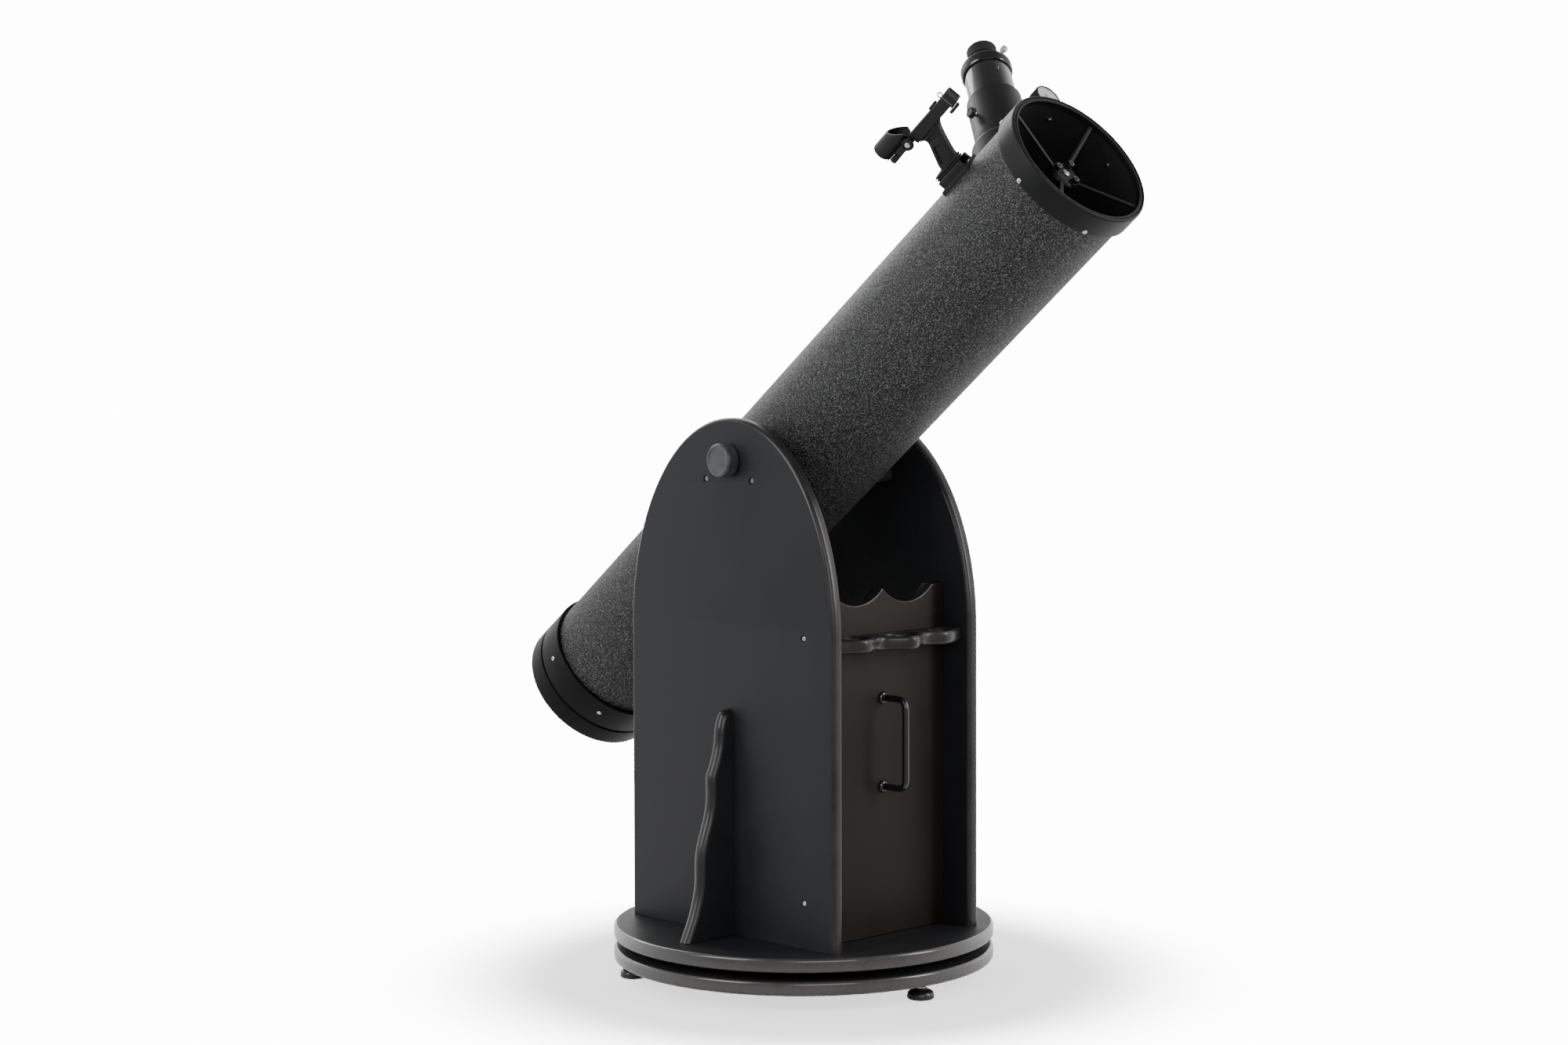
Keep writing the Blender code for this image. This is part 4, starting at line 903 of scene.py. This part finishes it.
def build_collar():
    radius, top = max(COLLAR_HIGH.x, COLLAR_HIGH.y), COLLAR_HIGH.z
    spigot, bore = 27.7, 16.2
    bottom = COLLAR_LOW.z + 10
    collar = turned_ring(
        [(30.2, top), (radius, top - 2.6), (radius, bottom + 3), (radius - 1.2, bottom),
         (spigot, bottom), (spigot, COLLAR_LOW.z), (bore, COLLAR_LOW.z), (bore, top)],
        [1.0, 1.6, 0.8, 0.4, 0, 0.3, 0.3, 0.6], 112)
    hole = rod(2.3, 14, 40, 24)
    hole.transform(rotation(THUMBSCREW_ANGLE, "Z") @ rotation(90, "Y"))
    collar = boolean(collar, placed(hole, z=THUMBSCREW.z))
    piece("eyepiece_collar_ring", collar, (FOCUSER_BLACK, GLOSS_BLACK), FOCUSER, "drawtube",
          "focuser_black", "eyepiece_collar", second=lambda centre, normal: centre.z < bottom + 2.6)


def build_thumbscrew():
    neck = 38
    place = moved(FOCUSER, 0, 0, THUMBSCREW.z) @ rotation(THUMBSCREW_ANGLE, "Z") @ rotation(90, "Y")
    head = knurled(4.5, neck, 46, 16, 0.45, dish=0.4)
    shaft = lathe([(0, neck + 0.1), (3.2, neck + 0.1), (3.2, 36.8), (2, 36.4), (2, 17), (0, 17)], 24)
    piece("eyepiece_thumbscrew_knurled", together(head, shaft), CHROME, place, "eyepiece_thumbscrew",
          "thumbscrew_chrome", "eyepiece_thumbscrew")


def build_ocular():
    """The eyepiece's stepped barrel with the safety groove in its bright nose."""
    low, high = span("eyepiece_body", FOCUSER)
    top, end = high.z, low.z
    rest = COLLAR_HIGH.z + 0.3
    body, nose, groove, nose_bore, eye_bore, stop = 18.5, 15.8, 15.2, 13.5, 10, 280
    barrel = turned_ring(
        [(16.2, top), (18.2, top - 1.2), (body, top - 4), (body, rest + 1.4), (17.6, rest), (nose, rest),
         (nose, end + 8), (groove, end + 7.4), (groove, end + 5.6), (nose, end + 5), (nose, end),
         (nose_bore, end), (nose_bore, stop), (eye_bore, stop + 3), (eye_bore, top)],
        [0.8, 0.6, 0.5, 0.5, 0.3, 0, 0.2, 0.2, 0.2, 0.2, 0.3, 0, 0.4, 0.4, 0.3], 72, corner_steps=3)
    piece("eyepiece_barrel", barrel, (FOCUSER_BLACK, CHROME), FOCUSER, "eyepiece", "focuser_black",
          "eyepiece_body",
          second=lambda centre, normal: centre.z < rest - 0.2 and off_axis(centre) > 14.6)


def build_eyecup():
    low, high = span("eyecup", FOCUSER)
    bottom, rim = low.z, high.z
    outer, valley, inner, rib_pitch = 19.3, 18.7, 10, 1.9
    profile = fillet([(17.6, rim), (19.5, rim - 1.4)], [0, 0.8])
    for i in range(6):
        level = rim - 3.4 - i * rib_pitch
        profile += [(outer, level), (outer, level - 0.9), (valley, level - 1.1), (valley, level - 1.7)]
    profile += [(18.4, bottom), (inner, bottom)]
    profile += fillet([(inner, bottom), (inner, bottom + 3), (14.2, rim - 2), (15.6, rim)],
                      [0, 0.6, 1.5, 0])
    piece("eyecup_rubber", lathe(profile, 84, ring=True), EYECUP_RUBBER, FOCUSER, "eyepiece",
          "eyecup_rubber", "eyecup")


# ---- finder
CLAMP_LEVEL = 101.5
HOOD_CENTRE = middle("finder_lens", FINDER).y


def build_shoe():
    """The finder's dovetail shoe on the tube, with a screw at each end."""
    low, high = span("finder_shoe", FINDER)
    half, foot_top = 16, 96
    shoe = union(bar((-half, 80, -15), (half, high.y, 26), 1.2, 3),
                 bar((low.x, 80, low.z), (high.x, foot_top, high.z), 1.2, 3))
    slot = plate([(-11, 97.5), (11, 97.5), (8, 108), (-8, 108)], 80, 0.2, 1)
    clamp_hole = placed(rod(2.3, 8, 30, 24), 0, CLAMP_LEVEL, 0, turn=90, axis="Y")
    grooves = [bar((side * half - 0.8, 99.2, -18), (side * half + 0.8, 100.6, 30)) for side in (-1, 1)]
    shoe = boolean(shoe, rod(TUBE_FIT, -60, 60, 160), slot, clamp_hole, *grooves)
    piece("finder_shoe_block", shoe, FINDER_BLACK, FINDER, "tube", "finder_black", "finder_shoe")
    screws = [placed(screw_head(2.4, 1.4), 0, foot_top, z, tilt=-90)
              for z in (low.z + 2.6, high.z - 2.2)]
    piece("finder_shoe_screws", together(*screws), ZINC, FINDER, "tube", "zinc_steel")


def build_finder_clamp():
    neck = 19
    reach = span("finder_clamp_screw", FINDER)[1].x
    cap = knurled(5.5, neck, reach, 14, 0.5, dish=0.4)
    stem = lathe([(0, neck + 0.1), (3.2, neck + 0.1), (3.2, 18.2), (2, 17.9), (2, 12.5), (0, 12.5)], 20)
    piece("finder_clamp_knob", together(cap, stem), FINDER_BLACK,
          moved(FINDER, 0, CLAMP_LEVEL, 0) @ rotation(90, "Y"), "finder_clamp_screw", "finder_black",
          "finder_clamp_screw")


def build_stalk():
    """The dovetail foot and the leaning post, with sunk panels between raised borders.

    The post is drawn on its side, with the tube's rearward direction to the right.
    """
    low, high = span("finder_stalk", FINDER)
    top, rear, front = high.y, low.z, 24.6
    outline = [(-rear, 106.6), (-rear, 112.6), (2.7, 114), (1.3, 119), (-14, 145.5), (-14.8, 150),
               (-12.5, 153), (-7, top), (-46, top), (-40.5, 150), (-32.8, 135.2), (-24.4, 116),
               (-front, 112.6), (-front, 106.6)]
    rounding = [0, 0.6, 1.5, 2, 3, 2, 2, 0, 0, 5, 5, 2, 0.6, 0]
    post = plate(fillet(outline, rounding, closed=True, steps=5), 12, 0.8, 2)
    pockets = []
    for corners in (((-3, 117.5), (-15, 139.5), (-29.5, 133), (-21, 117.5)),
                    ((-17.5, 146), (-17.5, 151), (-37, 151), (-32.5, 139))):
        for side in (-1, 1):
            pocket = plate(fillet(corners, 1.5, closed=True), 6, 0.4, 1)
            pockets.append(placed(pocket, z=side * 7.2))
    post = placed(boolean(post, together(*pockets)), turn=90, axis="Y")
    dovetail = plate([(-10.2, 98), (10.2, 98), (7.3, 107.5), (-7.3, 107.5)], 31, 0.3, 2)
    steps = [bar((-half, level, rear), (half, level + 2.4, front), 0.4, 2)
             for level, half in ((106.7, 10), (109.9, 9))]
    piece("finder_stalk_post", together(post, dovetail, *steps), FINDER_BLACK, FINDER, "tube",
          "finder_black", "finder_stalk")


def build_finder_bar():
    """The beam with its thicker front end, a light strip round that end and a wire loop."""
    low, high = span("finder_bar", FINDER)
    front, bottom, top = high.z, 155.5, 171
    beam = union(bar((-8, bottom, low.z), (8, top, front - 2), 1.5, 4),
                 bar((-9, low.y, front - 8.5), (9, top + 0.5, front), 1.0, 3),
                 bar((-5, top - 3, 50), (5, high.y, 61), 1.5, 3))
    grooves = [bar((side * 8 - 0.5, 158, 12), (side * 8 + 0.5, 168.5, 46), 0.2, 1) for side in (-1, 1)]
    beam = boolean(beam, *grooves, bar((-6, 156.5, front - 1), (6, 168.5, front + 1), 0.3, 1))
    piece("finder_bar_beam", beam, FINDER_BLACK, FINDER, "finder_bar", "finder_black", "finder_bar")
    strip = boolean(bar((-8.5, bottom - 1, front - 9.3), (8.5, top + 0.4, front - 8.4), 0.2, 1),
                    bar((-7.5, bottom, front - 12), (7.5, top - 0.5, front)))
    piece("finder_bar_strip", strip, PLUG_GREY, FINDER, "finder_bar", "finder_black")
    ring = [(0, y, z) for z, y in arc((front - 12.5, top + 2.6), (3, 3), 0, 360, 24)]
    piece("finder_bar_loop", wire(ring, 0.9, 3), FINDER_BLACK, FINDER, "finder_bar", "finder_black")


def build_wheel(node, radius, top, bottom, stem_radius=0):
    """A knurled wheel that hangs under the finder, with a bright washer on its upper face."""
    wheel = placed(knurled(radius, top + 0.4, bottom, 22, 0.5, dish=0.5), tilt=180)
    rim = radius - 0.9
    washer = turned_ring([(2.0, -top), (rim, -top), (rim, -top - 0.6), (2.0, -top - 0.6)], 0.15, 48)
    meshes = [wheel, washer]
    if stem_radius:
        meshes.append(rod(stem_radius, -top - 0.5, 0, 24))
    centre = middle(node, FINDER)
    face = span(node, FINDER)[1].y
    place = moved(FINDER, centre.x, face, centre.z) @ rotation(-90, "X")
    piece(f"{node}_knurled", together(*meshes), (FINDER_BLACK, CHROME), place, node, "knob_grey", node,
          second=lambda centre, normal: centre.z > -top - 0.5 and off_axis(centre) > 2.6)


def build_hood():
    """The lens hood, cut off at a slant, on its block under the tunnel."""
    low, high = span("finder_hood", FINDER)
    radius, bore, slope = high.x, 10.8, 47.5
    shell = turned_ring([(radius, high.z), (radius, low.z + 2), (radius - 1.2, low.z),
                         (bore - 1, low.z), (bore, low.z + 3), (bore, high.z)],
                        [0, 1, 0.8, 0.3, 0.6, 0], 72)
    hood = union(placed(shell, y=HOOD_CENTRE), bar((-7, 168.9, -39.5), (7, 170.2, 4), 0.3, 1),
                 bar((-7.5, low.y, -24), (7.5, 170, high.z), 1.2, 3))
    hood = boolean(hood, placed(bar((-20, -20, 0), (20, 40, 30)), 0, 184, -2, tilt=-slope))
    slant = Vector((0, math.sin(math.radians(slope)), math.cos(math.radians(slope))))

    # The slanted cut face takes plug grey, a painted highlight for the bright line along the hood's cut
    # edge.
    def hood_face(spot, normal):
        if abs(normal.dot(slant)) > 0.98 and spot.z > -20:
            return 2
        return math.hypot(spot.x, spot.y - HOOD_CENTRE) < bore + 0.4 and spot.y > 170.5

    piece("finder_hood_shell", hood, (FINDER_BLACK, INNER_BLACK, PLUG_GREY), FINDER, "finder_hood",
          "finder_black", "finder_hood", second=hood_face)


def build_power_knob():
    low, high = span("finder_power_knob", FINDER)
    centre = middle("finder_power_knob", FINDER)
    place = moved(FINDER, 0, centre.y, centre.z) @ rotation(-90, "Y")
    cap = knurled((high.y - low.y) / 2, 9.4, -low.x, 28, 0.4, dish=1.2)
    piece("finder_power_knob_cap", together(cap, rod(3, -high.x, 9.6, 24)), FINDER_BLACK, place,
          "finder_power_knob", "knob_grey", "finder_power_knob")
    piece("finder_power_knob_centre", placed(screw_head(3.4, 1.3), z=-low.x - 1.3), CHROME, place,
          "finder_power_knob", "thumbscrew_chrome")


# ---- CAD nodes that are kept
def paint_kept_nodes():
    kept = {
        ZINC: ("lower_race", "upper_race", "pivot_bolt", "pivot_nut", "pinion_shaft"),
        NYLON: ("roller_cage",),
        # the bearing pads take the dark nylon, painted shade
        SHADED_PAD_NYLON: ("bearing_pad_left_front", "bearing_pad_left_rear",
                    "bearing_pad_right_front", "bearing_pad_right_rear"),
        RING_BLACK: ("secondary_holder", "altitude_bearing_left", "altitude_bearing_right"),
        MIRROR: ("primary_mirror", "secondary_mirror"),
        ALUMINIUM: ("mirror_carrier",),
        LENS: ("eye_lens", "finder_lens"),
    }
    for material, nodes in kept.items():
        for node in nodes:
            paint_node(node, material)


# ---- floor, light and camera
def pale_floor():
    """A matt white floor that thins out to nothing round its edge."""
    material = surface("pale_floor", (0.93, 0.93, 0.93), 0.7, grain=40.0, relief=0.0, vary=0.005,
                       wear=0.02)
    place = new_node(material, "ShaderNodeTexCoord")
    size = math_node(material, "ShaderNodeVectorMath", "LENGTH")
    fade = new_node(material, "ShaderNodeMapRange", From_Min=0.33, From_Max=0.62, To_Min=0.9,
                    To_Max=0.0)
    fade.interpolation_type = "SMOOTHSTEP"
    link(material, place, "Object", size, 0)
    link(material, size, "Value", fade, "Value")
    link(material, fade, "Result", material.node_tree.nodes["Principled BSDF"], "Alpha")
    return material


def build_stage():
    bm = bmesh.new()
    bmesh.ops.create_grid(bm, x_segments=1, y_segments=1, size=1.2)
    floor = bpy.data.meshes.new("floor")
    bm.to_mesh(floor)
    bm.free()
    floor.materials.append(pale_floor())
    item = bpy.data.objects.new("floor", floor)
    bpy.context.scene.collection.objects.link(item)
    bpy.context.scene.world = studio_world()


def studio_world():
    """A white studio, brightest round the horizon behind the object and dim overhead."""
    world = bpy.data.worlds.new("studio")
    world.use_nodes = True
    lighting = world.node_tree.nodes["Background"]
    lighting.inputs["Color"].default_value = (1.0, 1.0, 1.0, 1.0)
    backdrop = new_node(world, "ShaderNodeBackground", Strength=18.0)
    place = new_node(world, "ShaderNodeTexCoord")
    facing = math_node(world, "ShaderNodeVectorMath", "DOT_PRODUCT")
    facing.inputs[1].default_value = (-0.69, -0.72, 0.0)
    around = new_node(world, "ShaderNodeMapRange", From_Min=-0.6, From_Max=0.6, To_Min=1.5, To_Max=0.40)
    parts = new_node(world, "ShaderNodeSeparateXYZ")
    overhead = new_node(world, "ShaderNodeMapRange", From_Min=0.4, From_Max=0.9, To_Min=1.0,
                        To_Max=0.22)
    strength = math_node(world, "ShaderNodeMath", "MULTIPLY")
    ray = new_node(world, "ShaderNodeLightPath")
    mix = new_node(world, "ShaderNodeMixShader")
    for source, output, target, socket in (
            (place, "Generated", facing, 0), (facing, "Value", around, "Value"),
            (place, "Generated", parts, 0), (parts, "Z", overhead, "Value"),
            (around, "Result", strength, 0), (overhead, "Result", strength, 1),
            (strength, 0, lighting, "Strength"), (ray, "Is Camera Ray", mix, 0),
            (lighting, 0, mix, 1), (backdrop, 0, mix, 2),
            (mix, 0, world.node_tree.nodes["World Output"], "Surface")):
        link(world, source, output, target, socket)
    return world


LIGHT_AIM = Vector((0, 0, 0.65))


def area_light(name, place, size, power, colour=(1, 1, 1)):
    """A rectangular softbox that faces the middle of the object."""
    lamp = bpy.data.lights.new(name, "AREA")
    lamp.shape = "RECTANGLE"
    lamp.size, lamp.size_y = size
    lamp.energy = power
    lamp.color = colour
    item = bpy.data.objects.new(name, lamp)
    item.location = place
    item.rotation_euler = (LIGHT_AIM - Vector(place)).to_track_quat("-Z", "Y").to_euler()
    bpy.context.scene.collection.objects.link(item)


def build_lights():
    area_light("left_softbox", (-2.9, 0.3, 2.0), (1.6, 2.2), 50)
    area_light("front_softbox", (-2.0, -3.2, 1.5), (2.4, 1.8), 32)
    area_light("right_softbox", (1.8, -3.0, 1.9), (0.9, 2.4), 60, (1.0, 0.96, 0.93))
    area_light("rear_softbox", (0.8, 2.8, 2.4), (2.2, 1.4), 40)


def build_camera():
    """Off the front left corner, at the height of the altitude axis or a little above it."""
    camera = bpy.data.cameras.new("camera")
    camera.sensor_width = 36
    camera.lens = 68.148
    camera.shift_x, camera.shift_y = -0.02915, -0.05825
    camera.clip_start, camera.clip_end = 0.05, 60
    item = bpy.data.objects.new("camera", camera)
    yaw, pitch, roll = -45.105, -2.059, -0.108
    turn = rotation(yaw, "Z") @ rotation(90 + pitch, "X") @ rotation(roll, "Z")
    item.matrix_world = Matrix.Translation((-2.7028, -2.7203, 0.8418)) @ turn
    bpy.context.scene.collection.objects.link(item)
    bpy.context.scene.camera = item


build_camera()
build_stage()
build_lights()
build_boards()
build_feet()
side_panel("left", -1)
side_panel("right", 1)
build_front_board()
build_ribs()
build_rack()
build_handle()
build_tension_knobs()
build_main_tube()
build_front_ring()
build_mirror_cell()
build_collimation_knobs()
build_spider()
build_focuser_base()
build_focuser_body()
build_pinion_bracket()
build_drawtube()
build_focus_knobs()
build_focus_lock()
build_collar()
build_thumbscrew()
build_ocular()
build_eyecup()
build_shoe()
build_stalk()
build_finder_bar()
build_wheel("finder_azimuth_wheel", 8.2, 2.6, 7, stem_radius=2.4)
build_wheel("finder_elevation_wheel", 7.4, 0, 8.4)
build_hood()
build_power_knob()
build_finder_clamp()
paint_kept_nodes()

bpy.context.view_layer.update()
